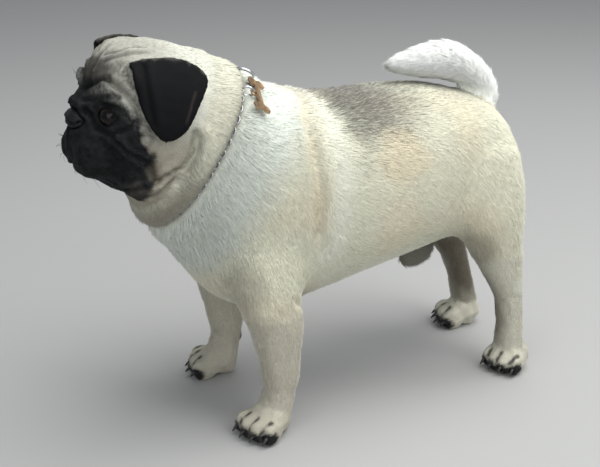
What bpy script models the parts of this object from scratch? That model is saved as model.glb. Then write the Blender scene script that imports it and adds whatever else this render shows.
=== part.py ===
"""A life-size model of a standing fawn pug, still and without joints.

The dog faces -Y, its left side is +X and the floor is z = 0. All sizes are metres.
The body is lofted from named sections, grown together into one form, and then
parted with thin cuts into the pieces that a person would name.
"""

import math

import bmesh
import bpy
from mathutils import Matrix, Vector
from mathutils.bvhtree import BVHTree

# Driving dimensions. The sections below are stated in the dog's own frame, midway
# between its feet, and every length of the model follows from them.
GAP = 0.0004
VOXEL = 0.0035
SMOOTHING = 5
BODY_TRIANGLES = 2500
EAR_TRIANGLES = 190
FRAME_SHIFT_Y = 0.0580

# Torso and neck: top line (y, z), underline (y, z), half width.
TORSO = [
    ((0.160, 0.258), (0.165, 0.205), 0.026),
    ((0.147, 0.276), (0.158, 0.176), 0.050),
    ((0.125, 0.291), (0.138, 0.158), 0.066),
    ((0.094, 0.303), (0.100, 0.150), 0.073),
    ((0.058, 0.311), (0.060, 0.142), 0.078),
    ((0.015, 0.313), (0.010, 0.133), 0.084),
    ((-0.030, 0.312), (-0.035, 0.1255), 0.089),
    ((-0.070, 0.315), (-0.085, 0.115), 0.090),
    ((-0.100, 0.323), (-0.135, 0.108), 0.087),
    ((-0.122, 0.333), (-0.178, 0.130), 0.082),
    ((-0.140, 0.346), (-0.206, 0.168), 0.077),
    ((-0.160, 0.358), (-0.228, 0.198), 0.071),
    ((-0.180, 0.367), (-0.243, 0.218), 0.064),
    ((-0.205, 0.369), (-0.252, 0.240), 0.050),
]
TORSO_SQUARENESS = 2.25

# Skull from the nape to the flat face: top line, underline, half width.
SKULL = [
    ((-0.170, 0.356), (-0.185, 0.262), 0.050),
    ((-0.195, 0.371), (-0.210, 0.245), 0.0620),
    ((-0.225, 0.379), (-0.235, 0.240), 0.0655),
    ((-0.250, 0.3795), (-0.255, 0.243), 0.0630),
    ((-0.264, 0.372), (-0.269, 0.249), 0.0535),
    ((-0.275, 0.358), (-0.279, 0.257), 0.0385),
    ((-0.283, 0.342), (-0.286, 0.268), 0.0200),
]
SKULL_SQUARENESS = 2.5

# Face forms: centre and radii. Those with a side are made on the left and right.
MUZZLE = ((0.0, -0.278, 0.290), (0.034, 0.025, 0.026))
CHIN = ((0.0, -0.279, 0.2705), (0.026, 0.020, 0.0125))
LIP = ((0.020, -0.280, 0.285), (0.0205, 0.0235, 0.0215))
BRIDGE = ((0.0, -0.2800, 0.3245), (0.021, 0.0165, 0.0145))
BROW = ((0.031, -0.2665, 0.342), (0.019, 0.0145, 0.012))
POUCH = ((0.046, -0.253, 0.303), (0.020, 0.022, 0.020))
JOWL = ((0.043, -0.240, 0.264), (0.020, 0.031, 0.022))
EYE = ((0.0330, -0.2685, 0.321), 0.0128)
NOSE = ((0.0, -0.2938, 0.3145), (0.0135, 0.0088, 0.0098))

# Fore leg: centre (x, y), height z, half width across, half length fore and aft.
FORE_LEG = [
    (0.056, -0.128, 0.205, 0.026, 0.046),
    (0.062, -0.135, 0.170, 0.028, 0.041),
    (0.067, -0.141, 0.139, 0.027, 0.0325),
    (0.070, -0.1345, 0.110, 0.0250, 0.0272),
    (0.071, -0.1325, 0.083, 0.0218, 0.0218),
    (0.071, -0.1310, 0.060, 0.0198, 0.0190),
    (0.071, -0.1325, 0.044, 0.0180, 0.0158),
    (0.071, -0.1375, 0.026, 0.0193, 0.0175),
    (0.071, -0.1420, 0.012, 0.0188, 0.0175),
]
RIGHT_FORE_STEP = 0.005

# Hind leg, in the same way.
HIND_LEG = [
    (0.045, 0.108, 0.250, 0.030, 0.040),
    (0.050, 0.107, 0.220, 0.034, 0.047),
    (0.055, 0.109, 0.185, 0.0350, 0.0455),
    (0.058, 0.117, 0.155, 0.0300, 0.0350),
    (0.060, 0.1255, 0.130, 0.0245, 0.0270),
    (0.062, 0.1325, 0.108, 0.0200, 0.0208),
    (0.062, 0.1395, 0.085, 0.0172, 0.0150),
    (0.062, 0.1428, 0.060, 0.0162, 0.0138),
    (0.062, 0.1434, 0.040, 0.0168, 0.0143),
    (0.062, 0.1435, 0.024, 0.0178, 0.0155),
    (0.062, 0.1430, 0.012, 0.0175, 0.0165),
]
RIGHT_HIND_STEP = 0.031
RIGHT_HIND_PAW_STEP = 0.0155

# Paws: centre, how far each is turned out, and how long and wide it is.
FORE_PAW = ((0.0750, -0.1488), 19.0, 0.0535, 0.0495)
HIND_PAW = ((0.0630, 0.1440), 18.0, 0.0505, 0.0450)
TOE_HEIGHT = 0.0225
PAD_DEPTH = 0.0025
CLAW_LENGTH = 0.0088
CLAW_RADIUS = 0.0029

# Tail: centre (y, z) and radius, from the rump up and forward over the back.
TAIL = [
    (0.136, 0.262, 0.0140),
    (0.141, 0.282, 0.0150),
    (0.134, 0.301, 0.0170),
    (0.116, 0.3165, 0.0195),
    (0.094, 0.3255, 0.0205),
    (0.071, 0.3275, 0.0180),
    (0.050, 0.3275, 0.0135),
    (0.034, 0.3270, 0.0085),
    (0.026, 0.3265, 0.0035),
]
TAIL_CUTS = {
    "tail_tip": ((0.071, 0.3295), (-1.0, 0.0)),
    "tail_middle": ((0.134, 0.301), (-0.66, 0.75)),
}

# Ear flap: fold line at the top from front to back, edge below it, thickness.
# The right ear is held a little higher and further forward than the left one.
EAR_FOLD = {
    "L": [
        (0.0340, -0.2560, 0.3660),
        (0.0440, -0.2340, 0.3720),
        (0.0505, -0.2050, 0.3710),
        (0.0600, -0.1850, 0.3520),
    ],
    "R": [
        (0.0340, -0.2610, 0.3745),
        (0.0440, -0.2410, 0.3795),
        (0.0505, -0.2110, 0.3755),
        (0.0600, -0.1880, 0.3560),
    ],
}
EAR_EDGE = [
    (0.0540, -0.2560, 0.3560),
    (0.0700, -0.2520, 0.3180),
    (0.0745, -0.2390, 0.2960),
    (0.0740, -0.2160, 0.3060),
]
EAR_THICKNESS = 0.0055

# Sheath under the belly: centre, radii and how far it tips up towards the rear.
SHEATH = ((0.0, 0.0632, 0.1285), (0.0095, 0.0235, 0.0170))
SHEATH_TILT = 25.0

# Collar chain in the fold of the neck: where its plane meets the top line and throat.
CHAIN_TOP = (-0.141, 0.345)
CHAIN_BOTTOM = (-0.233, 0.205)
CHAIN_RADIUS = 0.0023
CHAIN_POINTS = 26
CHAIN_LIFT = 0.0005

# Rings on the chain: degrees round from the top, radius, wire radius, degrees of tilt.
RING_POINTS = 14
TAG_RING = (34.0, 0.0060, 0.0011, 84.0)
SLIP_RING = (14.0, 0.0088, 0.0014, 44.0)

# Bone-shaped tag: lobe radius, where the lobes and the eyelet stand, hole, thickness.
LOBE = 0.0052
LOBE_PLACE = (0.0165, 0.0046)
EYELET = (0.0054, 0.0046)
TAG_HOLE = 0.0030
TAG_THICKNESS = 0.0014
TAG_LIFT = 0.0012

SIDES = {"L": 1.0, "R": -1.0}

# Where the body is parted: top and bottom (y, z) of a slanting cut, or y of an upright one.
NAPE_CUT = ((-0.170, 0.362), (-0.243, 0.232))
RIB_CUT = -0.030
HIP_CUT = 0.062
JAW_CUT = ((-0.330, 0.2770), (-0.245, 0.2620))
JAW_HALF_WIDTH = 0.034

# Heights at which the legs are parted, from the paw upwards.
FORE_CUTS = [("fore_paw", 0.036), ("forearm", 0.125)]
HIND_CUTS = [("hind_paw", 0.032), ("hock", 0.080), ("shank", 0.138)]

# The space of a leg: y range and x below, y range and height at the top, height of the bend.
FORE_REGION = ((-0.215, -0.083), 0.028, (-0.145, -0.100), 0.205, 0.105)
HIND_REGION = ((0.045, 0.210), 0.022, (0.078, 0.150), 0.235, 0.145)


def clear_scene():
    """Remove whatever the open file holds."""
    for item in list(bpy.data.objects):
        bpy.data.objects.remove(item, do_unlink=True)


def collection(name):
    """Make a collection in the scene."""
    made = bpy.data.collections.new(name)
    bpy.context.scene.collection.children.link(made)
    return made


clear_scene()
PUG = collection("pug")
CUTTERS = collection("cutters")


def material(name, colour, roughness, metallic=0.0):
    """A plain Principled material with one colour."""
    made = bpy.data.materials.new(name)
    made.use_nodes = True
    shader = made.node_tree.nodes["Principled BSDF"]
    shader.inputs["Base Color"].default_value = (*colour, 1.0)
    shader.inputs["Roughness"].default_value = roughness
    shader.inputs["Metallic"].default_value = metallic
    return made


def curve_value(values, place):
    """Catmull-Rom value at a place along a list, where 0 is its first entry."""
    last = len(values) - 1
    i = min(int(place), last - 1)
    t = place - i
    a = values[max(i - 1, 0)]
    b = values[i]
    c = values[i + 1]
    d = values[min(i + 2, last)]
    linear = (c - a) * t
    square = (2 * a - 5 * b + 4 * c - d) * t * t
    cube = (3 * b - a - 3 * c + d) * t ** 3
    return b + 0.5 * (linear + square + cube)


def smooth_rows(rows, steps):
    """Rows of numbers, with `steps` rows to each stretch between two given ones."""
    columns = list(zip(*rows))
    count = (len(rows) - 1) * steps
    places = [i / steps for i in range(count + 1)]
    return [[curve_value(column, place) for column in columns] for place in places]


def ring_points(centre, across, upward, squareness, sides):
    """One superellipse, given by its centre and its two half axes."""
    power = 2.0 / squareness
    points = []
    for i in range(sides):
        angle = 2.0 * math.pi * i / sides
        x = math.copysign(abs(math.cos(angle)) ** power, math.cos(angle))
        z = math.copysign(abs(math.sin(angle)) ** power, math.sin(angle))
        points.append(centre + across * x + upward * z)
    return points


def add_loft(bm, rings):
    """Join rings of points, all of one length, into a closed tube."""
    rows = [[bm.verts.new(point) for point in ring] for ring in rings]
    for row, following in zip(rows, rows[1:]):
        for i in range(len(row)):
            j = (i + 1) % len(row)
            bm.faces.new((row[i], row[j], following[j], following[i]))
    bm.faces.new(list(reversed(rows[0])))
    bm.faces.new(rows[-1])


def add_spine_form(bm, sections, squareness, steps=3, sides=32):
    """Loft upright sections, each given by its top, its bottom and its half width."""
    rows = smooth_rows([(*top, *bottom, width) for top, bottom, width in sections], steps)
    rings = []
    for top_y, top_z, bottom_y, bottom_z, width in rows:
        top = Vector((0.0, top_y, top_z))
        bottom = Vector((0.0, bottom_y, bottom_z))
        half = (top - bottom) / 2
        rings.append(ring_points((top + bottom) / 2, Vector((width, 0, 0)), half, squareness, sides))
    add_loft(bm, rings)


def add_leg_form(bm, sections, side, steps=3, sides=20):
    """Loft level sections down a leg."""
    rings = []
    for x, y, z, across, along in smooth_rows(sections, steps):
        centre = Vector((x * side, y, z))
        rings.append(ring_points(centre, Vector((across, 0, 0)), Vector((0, along, 0)), 2.1, sides))
    add_loft(bm, rings)


def add_ball(bm, centre, radii, turn=None, segments=20):
    """An ellipsoid from a primitive sphere."""
    matrix = Matrix.Translation(centre)
    if turn is not None:
        matrix = matrix @ turn
    matrix = matrix @ Matrix.Diagonal((*radii, 1.0))
    bmesh.ops.create_uvsphere(bm, u_segments=segments, v_segments=segments // 2, radius=1.0, matrix=matrix)


def object_from(bm, name, place=PUG):
    """Turn a bmesh into an object whose faces point outwards."""
    bmesh.ops.recalc_face_normals(bm, faces=bm.faces)
    mesh = bpy.data.meshes.new(name)
    bm.to_mesh(mesh)
    bm.free()
    made = bpy.data.objects.new(name, mesh)
    place.objects.link(made)
    return made


def settle(item):
    """Replace an object's mesh with what its modifiers make of it."""
    graph = bpy.context.evaluated_depsgraph_get()
    mesh = bpy.data.meshes.new_from_object(item.evaluated_get(graph))
    item.modifiers.clear()
    item.data = mesh
    return item


def grow_together(item, voxel, smoothing, triangles):
    """Merge overlapping forms into one skin, soften the joins and thin its triangles."""
    remesh = item.modifiers.new("Merge", "REMESH")
    remesh.mode = "VOXEL"
    remesh.voxel_size = voxel
    smooth = item.modifiers.new("Soften", "SMOOTH")
    smooth.factor = 0.5
    smooth.iterations = smoothing
    settle(item)
    largest_body(item)
    return thin_to(item, triangles)


def thin_to(item, triangles):
    """Thin a mesh of quads to about a number of triangles."""
    thin = item.modifiers.new("Thin", "DECIMATE")
    thin.ratio = triangles / (2 * len(item.data.polygons))
    thin.use_collapse_triangulate = True
    return settle(item)


def combine(item, other, operation):
    """Apply one exact Boolean with another object and keep the other as it is."""
    cut = item.modifiers.new("Cut", "BOOLEAN")
    cut.operation = operation
    cut.solver = "EXACT"
    cut.object = other
    return settle(item)


def copy_of(item, name, place=PUG):
    """A separate object with its own copy of the mesh."""
    made = bpy.data.objects.new(name, item.data.copy())
    place.objects.link(made)
    return made


def drop(item):
    """Remove an object that has done its work."""
    bpy.data.objects.remove(item, do_unlink=True)


def grown(item, margin):
    """A cutter that is larger than an object by a margin all round."""
    bm = bmesh.new()
    bm.from_mesh(item.data)
    bm.normal_update()
    moves = [vert.normal * margin * vert.calc_shell_factor() for vert in bm.verts]
    for vert, move in zip(bm.verts, moves):
        vert.co += move
    return object_from(bm, item.name + "_room", CUTTERS)


def seat(host, guest, margin=GAP):
    """Cut room for the guest in its host, with a thin gap round it."""
    room = grown(guest, margin)
    combine(host, room, "DIFFERENCE")
    drop(room)


def hull(name, points):
    """A convex region round a few points, used to part the body."""
    bm = bmesh.new()
    for point in points:
        bm.verts.new(point)
    made = bmesh.ops.convex_hull(bm, input=bm.verts)
    loose = [g for g in made["geom_interior"] if isinstance(g, bmesh.types.BMVert)]
    bmesh.ops.delete(bm, geom=loose, context="VERTS")
    bmesh.ops.triangulate(bm, faces=bm.faces)
    return object_from(bm, name, CUTTERS)


def largest_body(item):
    """Keep only the largest connected body of a mesh."""
    bm = bmesh.new()
    bm.from_mesh(item.data)
    left = set(bm.verts)
    bodies = []
    while left:
        front = [left.pop()]
        body = list(front)
        while front:
            vert = front.pop()
            for edge in vert.link_edges:
                other = edge.other_vert(vert)
                if other in left:
                    left.remove(other)
                    front.append(other)
                    body.append(other)
        bodies.append(body)
    bodies.sort(key=len)
    for body in bodies[:-1]:
        bmesh.ops.delete(bm, geom=body, context="VERTS")
    bm.to_mesh(item.data)
    bm.free()


def take(whole, name, region):
    """Part the piece inside a region from the whole, with a thin gap between them."""
    piece = copy_of(whole, name)
    combine(piece, region, "INTERSECT")
    largest_body(piece)
    room = grown(region, GAP)
    combine(whole, room, "DIFFERENCE")
    largest_body(whole)
    drop(room)
    drop(region)
    return piece


def half_space(name, point, normal, size=1.2):
    """A large block that fills the side of a plane that its normal points to."""
    bm = bmesh.new()
    bmesh.ops.create_cube(bm, size=size)
    turn = Vector((0, 0, 1)).rotation_difference(Vector(normal)).to_matrix().to_4x4()
    offset = Vector(normal).normalized() * size / 2
    bmesh.ops.transform(bm, matrix=Matrix.Translation(Vector(point) + offset) @ turn, verts=bm.verts)
    return object_from(bm, name, CUTTERS)


def toe_layout(paw, side):
    """Where the four toes of a paw stand: root point, direction and turn matrix."""
    (x, y), turned_out, length, width = paw
    turn = Matrix.Rotation(math.radians(turned_out) * side, 4, "Z")
    centre = Vector((x * side, y, 0.0))
    toes = []
    for place in (-1.5, -0.5, 0.5, 1.5):
        fan = Matrix.Rotation(math.radians(7.0) * place, 4, "Z")
        inset = 0.004 if abs(place) > 1 else 0.0
        across = place * width * 0.245
        local = Vector((across, -length / 2 + 0.0135 + inset, TOE_HEIGHT / 2))
        toes.append((centre + turn @ local, turn @ fan))
    return centre, turn, toes


def add_paw_form(bm, paw, side):
    """Instep, heel pad and four toes."""
    _, _, length, width = paw
    centre, turn, toes = toe_layout(paw, side)
    instep = centre + turn @ Vector((0.0, 0.006, 0.017))
    add_ball(bm, instep, (width * 0.43, length * 0.36, 0.017), turn)
    heel = centre + turn @ Vector((0.0, length * 0.5 - 0.013, 0.0095))
    add_ball(bm, heel, (width * 0.32, 0.013, 0.0095 + PAD_DEPTH), turn)
    for point, toe_turn in toes:
        add_ball(bm, point, (width * 0.155, 0.0145, TOE_HEIGHT / 2 + PAD_DEPTH), toe_turn, 16)


def make_body():
    """The whole body without its tail and ears, as one skin that stands on small flats."""
    bm = bmesh.new()
    add_spine_form(bm, TORSO, TORSO_SQUARENESS)
    add_spine_form(bm, SKULL, SKULL_SQUARENESS)
    add_ball(bm, *MUZZLE)
    add_ball(bm, *CHIN)
    add_ball(bm, *BRIDGE)
    for side in SIDES.values():
        for (x, y, z), radii in (LIP, BROW, POUCH, JOWL):
            add_ball(bm, (x * side, y, z), radii)
        add_leg_form(bm, stepped_leg(FORE_LEG, side, RIGHT_FORE_STEP), side)
        add_leg_form(bm, stepped_leg(HIND_LEG, side, RIGHT_HIND_STEP), side)
        add_paw_form(bm, stepped_paw(FORE_PAW, side, RIGHT_FORE_STEP), side)
        add_paw_form(bm, stepped_paw(HIND_PAW, side, RIGHT_HIND_PAW_STEP), side)
    body = grow_together(object_from(bm, "body"), VOXEL, SMOOTHING, BODY_TRIANGLES)
    floor = half_space("floor", (0, 0, 0), (0, 0, -1))
    combine(body, floor, "DIFFERENCE")
    drop(floor)
    return body


def stepped_leg(sections, side, step):
    """The right leg of a pair stands a step further back, more so towards the foot."""
    if side > 0:
        return sections
    top = sections[0][2]
    bottom = sections[-1][2]
    rows = []
    for x, y, z, across, along in sections:
        share = (top - z) / (top - bottom)
        rows.append((x, y + step * share ** 2, z, across, along))
    return rows


def stepped_paw(paw, side, step):
    """The right paw of a pair stands further back too."""
    (x, y), turned_out, length, width = paw
    if side > 0:
        return paw
    return ((x, y + step), turned_out, length, width)


def make_tail():
    """The tail, a tapering tube that rises from the rump and lies along the back."""
    rows = smooth_rows(TAIL, 2)
    rings = []
    for i, (y, z, radius) in enumerate(rows):
        before = rows[max(i - 1, 0)]
        after = rows[min(i + 1, len(rows) - 1)]
        along = Vector((0, after[0] - before[0], after[1] - before[1])).normalized()
        upward = along.cross(Vector((1, 0, 0)))
        rings.append(ring_points(Vector((0, y, z)), Vector((radius, 0, 0)), upward * radius, 2.0, 14))
    bm = bmesh.new()
    add_loft(bm, rings)
    return object_from(bm, "tail_base")


def make_ear(letter):
    """A folded flap: a small cage between its fold and its rounded tip, given a thickness."""
    side = SIDES[letter]
    bm = bmesh.new()
    rows = 4
    grid = []
    for j in range(rows):
        share = j / (rows - 1)
        line = []
        for top, tip in zip(EAR_FOLD[letter], EAR_EDGE):
            point = Vector(top).lerp(Vector(tip), share)
            point += Vector((0.007, 0.0, 0.004)) * math.sin(math.pi * share)
            line.append(bm.verts.new((point.x * side, point.y, point.z)))
        grid.append(line)
    for upper, lower in zip(grid, grid[1:]):
        for i in range(len(upper) - 1):
            bm.faces.new((upper[i], upper[i + 1], lower[i + 1], lower[i]))
    made = object_from(bm, "ear_" + letter)
    if made.data.polygons[0].normal.x * side < 0:
        made.data.flip_normals()
    thick = made.modifiers.new("Thickness", "SOLIDIFY")
    thick.thickness = EAR_THICKNESS
    thick.offset = 0.0
    soft = made.modifiers.new("Soft", "SUBSURF")
    soft.levels = 2
    soft.render_levels = 2
    settle(made)
    return thin_to(made, EAR_TRIANGLES)


def make_ball(name, centre, radii, segments, turn=None):
    """A ball-shaped piece of its own."""
    bm = bmesh.new()
    add_ball(bm, centre, radii, turn, segments)
    return object_from(bm, name)


def make_claw(name, root, turn):
    """A short blunt claw that points forward and down from its toe."""
    bm = bmesh.new()
    bmesh.ops.create_cone(
        bm,
        cap_ends=True,
        segments=6,
        radius1=CLAW_RADIUS,
        radius2=CLAW_RADIUS * 0.45,
        depth=CLAW_LENGTH,
    )
    lean = Matrix.Rotation(math.radians(125.0), 4, "X")
    tip = Vector((0.0, -0.0124, -0.0038))
    matrix = Matrix.Translation(root) @ turn @ Matrix.Translation(tip) @ lean
    bmesh.ops.transform(bm, matrix=matrix, verts=bm.verts)
    return object_from(bm, name)


def loop_on_body(body, points, lift):
    """Points where the neck fold's plane meets the skin, raised by a distance."""
    tree = BVHTree.FromObject(body, bpy.context.evaluated_depsgraph_get())
    top = Vector((0, *CHAIN_TOP))
    bottom = Vector((0, *CHAIN_BOTTOM))
    centre = (top + bottom) / 2
    upward = (top - bottom).normalized()
    loop = []
    for i in range(points):
        angle = 2 * math.pi * i / points
        outward = Vector((1, 0, 0)) * math.sin(angle) + upward * math.cos(angle)
        hit, _, _, _ = tree.ray_cast(centre, outward, 0.3)
        loop.append(hit + outward * lift)
    return loop


def make_tube(name, loop, radius):
    """A closed round tube through a ring of points, as a mesh."""
    curve = bpy.data.curves.new(name, "CURVE")
    curve.dimensions = "3D"
    curve.bevel_depth = radius
    curve.bevel_resolution = 1
    spline = curve.splines.new("POLY")
    spline.points.add(len(loop) - 1)
    for point, place in zip(spline.points, loop):
        point.co = (*place, 1.0)
    spline.use_cyclic_u = True
    bm = bmesh.new()
    bm.from_mesh(mesh_of_curve(curve))
    bmesh.ops.remove_doubles(bm, verts=bm.verts, dist=0.00001)
    return object_from(bm, name)


def ring_on_chain(name, loop, ring):
    """A round ring that lies tilted on the chain, and the point and direction of its rear."""
    degrees, radius, wire, tilt = ring
    place = degrees / 360.0 * len(loop)
    i = int(place)
    along = (loop[i + 1] - loop[i]).normalized()
    anchor = loop[i].lerp(loop[i + 1], place - i)
    middle = (Vector((0, *CHAIN_TOP)) + Vector((0, *CHAIN_BOTTOM))) / 2
    backward = along.cross(anchor - middle).normalized()
    if backward.y < 0:
        backward = -backward
    outward = along.cross(backward).normalized()
    if outward.dot(anchor - middle) < 0:
        outward = -outward
    inward = radius - CHAIN_RADIUS / math.sin(math.radians(tilt)) - wire - 3 * GAP
    centre = anchor + backward * inward
    rising = along * math.cos(math.radians(tilt)) + outward * math.sin(math.radians(tilt))
    points = []
    for k in range(RING_POINTS):
        turn = 2 * math.pi * k / RING_POINTS
        points.append(centre + backward * radius * math.cos(turn) + rising * radius * math.sin(turn))
    return make_tube(name, points, wire), (centre + backward * radius, rising)


def arc(centre, radius, start, end, steps):
    """Points along an arc, with its angles in degrees."""
    points = []
    for k in range(steps + 1):
        turn = math.radians(start + (end - start) * k / steps)
        points.append((centre[0] + radius * math.cos(turn), centre[1] + radius * math.sin(turn)))
    return points


def make_tag(body, rear):
    """A bone-shaped tag cut from sheet, which lies on the coat and hangs by its eyelet."""
    x, y = LOBE_PLACE
    eyelet_y, eyelet_radius = EYELET
    outline = arc((x, y), LOBE, -60, 200, 5)
    outline += arc((0, eyelet_y), eyelet_radius, -20, 200, 5)
    outline += arc((-x, y), LOBE, -20, 240, 5)
    outline += arc((-x, -y), LOBE, 120, 380, 5)
    outline += arc((x, -y), LOBE, 160, 420, 5)
    curve = bpy.data.curves.new("collar_tag", "CURVE")
    curve.dimensions = "2D"
    curve.fill_mode = "BOTH"
    curve.extrude = TAG_THICKNESS / 2
    for points in (outline, arc((0, eyelet_y), TAG_HOLE, 0, 315, 7)):
        spline = curve.splines.new("POLY")
        spline.points.add(len(points) - 1)
        for point, place in zip(spline.points, points):
            point.co = (*place, 0.0, 1.0)
        spline.use_cyclic_u = True
    bm = bmesh.new()
    bm.from_mesh(mesh_of_curve(curve))
    bmesh.ops.remove_doubles(bm, verts=bm.verts, dist=0.00001)

    far, rising = rear
    tree = BVHTree.FromObject(body, bpy.context.evaluated_depsgraph_get())
    hang = Vector((0.0, -0.91, 0.41))
    skin, outward, _, _ = tree.find_nearest(far - hang * eyelet_y)
    upward = (hang - outward * hang.dot(outward)).normalized()
    height = (skin - far).dot(outward) + TAG_THICKNESS / 2 + TAG_LIFT
    place = Matrix((upward.cross(outward), upward, outward)).transposed().to_4x4()
    place.translation = far + rising * (height / rising.dot(outward)) - upward * eyelet_y
    bmesh.ops.transform(bm, matrix=place, verts=bm.verts)
    return object_from(bm, "collar_tag")


def mesh_of_curve(curve):
    """What a curve draws, as a mesh."""
    drawn = bpy.data.objects.new("drawn", curve)
    CUTTERS.objects.link(drawn)
    graph = bpy.context.evaluated_depsgraph_get()
    mesh = bpy.data.meshes.new_from_object(drawn.evaluated_get(graph))
    drop(drawn)
    return mesh


def finish_piece(item, look):
    """Join the flat faces that the cuts split, set the material and shade smooth."""
    flat = item.modifiers.new("Flat", "DECIMATE")
    flat.decimate_type = "DISSOLVE"
    flat.angle_limit = math.radians(0.6)
    settle(item)
    item.data.materials.clear()
    item.data.materials.append(look)
    item.data.shade_smooth()


def leg_region(name, side, region):
    """The space round one leg: upright below, and leaning in over the shoulder or hip."""
    y_range, inner, join_y, join_z, low = region
    points = []
    for y in y_range:
        for x in (inner, 0.14):
            points.append((x * side, y, -0.02))
            points.append((x * side, y, low))
    for y in join_y:
        for x in (inner + 0.020, 0.14):
            points.append((x * side, y, join_z))
    return hull(name + "_region", points)


def part_leg(body, pair, letter, cuts, region):
    """Take a leg off the body and cut it at its joints. Cuts run from the paw upwards."""
    leg = take(body, f"{pair}_{letter}", region)
    pieces = []
    for title, height in cuts:
        below = half_space("below", (0, 0, height), (0, 0, -1))
        pieces.append(take(leg, f"{title}_{letter}", below))
    return leg, pieces


def part_body(body):
    """Part the grown body into the pieces that a person would name."""
    pieces = []
    for letter, side in SIDES.items():
        leg, lower = part_leg(body, "fore", letter, FORE_CUTS, leg_region("fore", side, FORE_REGION))
        leg.name = "shoulder_" + letter
        pieces += [leg, *lower]
        leg, lower = part_leg(body, "hind", letter, HIND_CUTS, leg_region("hind", side, HIND_REGION))
        leg.name = "thigh_" + letter
        pieces += [leg, *lower]
    chain_normal = plane_normal(CHAIN_TOP, CHAIN_BOTTOM)
    head = take(body, "head", half_space("nape", (0, *NAPE_CUT[0]), plane_normal(*NAPE_CUT)))
    neck = take(body, "neck", half_space("fold", (0, *CHAIN_TOP), chain_normal))
    chest = take(body, "chest", half_space("ribs", (0, RIB_CUT, 0.2), (0, -1, 0)))
    loin = take(body, "loin", half_space("hips", (0, HIP_CUT, 0.2), (0, -1, 0)))
    body.name = "rump"
    jaw_points = []
    for x in (-JAW_HALF_WIDTH, JAW_HALF_WIDTH):
        for y, z in JAW_CUT:
            jaw_points += [(x, y, z), (x, y, 0.2)]
    jaw = take(head, "lower_jaw", hull("jaw_region", jaw_points))
    pieces += [head, neck, chest, loin, body]
    return pieces, jaw


def plane_normal(top, bottom):
    """The forward normal of an upright plane through a top and a bottom (y, z) point."""
    fall = Vector((0, bottom[0] - top[0], bottom[1] - top[1])).normalized()
    return Vector((0, fall.z, -fall.y))


def build():
    """Make the whole dog and part it into its named pieces."""
    fawn = material("fawn coat", (0.62, 0.50, 0.36), 0.85)
    cream = material("cream coat", (0.74, 0.67, 0.55), 0.85)
    mask = material("dark mask", (0.035, 0.031, 0.030), 0.80)
    velvet = material("black ear", (0.012, 0.012, 0.014), 0.75)
    leather = material("nose leather", (0.010, 0.010, 0.011), 0.35)
    eye_look = material("dark eye", (0.020, 0.010, 0.006), 0.06)
    horn = material("black claw", (0.015, 0.014, 0.013), 0.35)
    steel = material("steel chain", (0.56, 0.57, 0.60), 0.28, 1.0)
    tan = material("tan tag", (0.45, 0.30, 0.17), 0.40, 0.6)

    body = make_body()
    tail = make_tail()
    seat(body, tail)
    for letter, side in SIDES.items():
        (x, y, z), radius = EYE
        eye = make_ball("eye_" + letter, (x * side, y, z), (radius, radius, radius), 12)
        seat(body, eye)
        finish_piece(eye, eye_look)
        ear = make_ear(letter)
        room = grown(body, GAP)
        combine(ear, room, "DIFFERENCE")
        drop(room)
        largest_body(ear)
        finish_piece(ear, velvet)
        fore_paw = stepped_paw(FORE_PAW, side, RIGHT_FORE_STEP)
        hind_paw = stepped_paw(HIND_PAW, side, RIGHT_HIND_PAW_STEP)
        for title, paw in (("fore", fore_paw), ("hind", hind_paw)):
            for number, (root, turn) in enumerate(toe_layout(paw, side)[2], 1):
                claw = make_claw(f"{title}_claw_{letter}_{number}", root, turn)
                seat(body, claw)
                finish_piece(claw, horn)
    nose = make_ball("nose", *NOSE, 12)
    seat(body, nose)
    finish_piece(nose, leather)
    sheath = make_ball("sheath", *SHEATH, 12, Matrix.Rotation(math.radians(SHEATH_TILT), 4, "X"))
    seat(body, sheath)
    finish_piece(sheath, fawn)

    loop = loop_on_body(body, CHAIN_POINTS, CHAIN_LIFT)
    tag_ring, rear = ring_on_chain("tag_ring", loop, TAG_RING)
    slip_ring, _ = ring_on_chain("slip_ring", loop, SLIP_RING)
    chain = make_tube("collar_chain", loop, CHAIN_RADIUS)
    finish_piece(make_tag(body, rear), tan)
    for worn in (chain, tag_ring, slip_ring):
        seat(body, worn)
        finish_piece(worn, steel)
    pieces, jaw = part_body(body)
    for piece in pieces:
        finish_piece(piece, fawn)
    finish_piece(jaw, mask)
    finish_piece(tail, cream)
    for title, ((y, z), normal) in TAIL_CUTS.items():
        finish_piece(take(tail, title, half_space("tail_cut", (0, y, z), (0, *normal))), cream)

    frame = bpy.data.objects.new("frame", None)
    PUG.objects.link(frame)
    frame.location = (0.0, FRAME_SHIFT_Y, 0.0)
    for item in list(PUG.objects):
        if item != frame:
            item.parent = frame


build()
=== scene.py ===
# %% [markdown]
# # A standing fawn pug, life size
# The body below is a museum model of a small, stocky dog with a short double coat.
# The solids of the body are already made, to the tips of the hair. Here they get what
# solids can't carry: one seamless skin, folds, lids, eyes, and a coat of hair tufts.
# All sizes are metres. The dog faces -Y, and its left side is +X.

# %% The solid model as a frame
import math

import bmesh
import bpy
import numpy as np
from mathutils import Matrix, Vector
from mathutils.bvhtree import BVHTree


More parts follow.
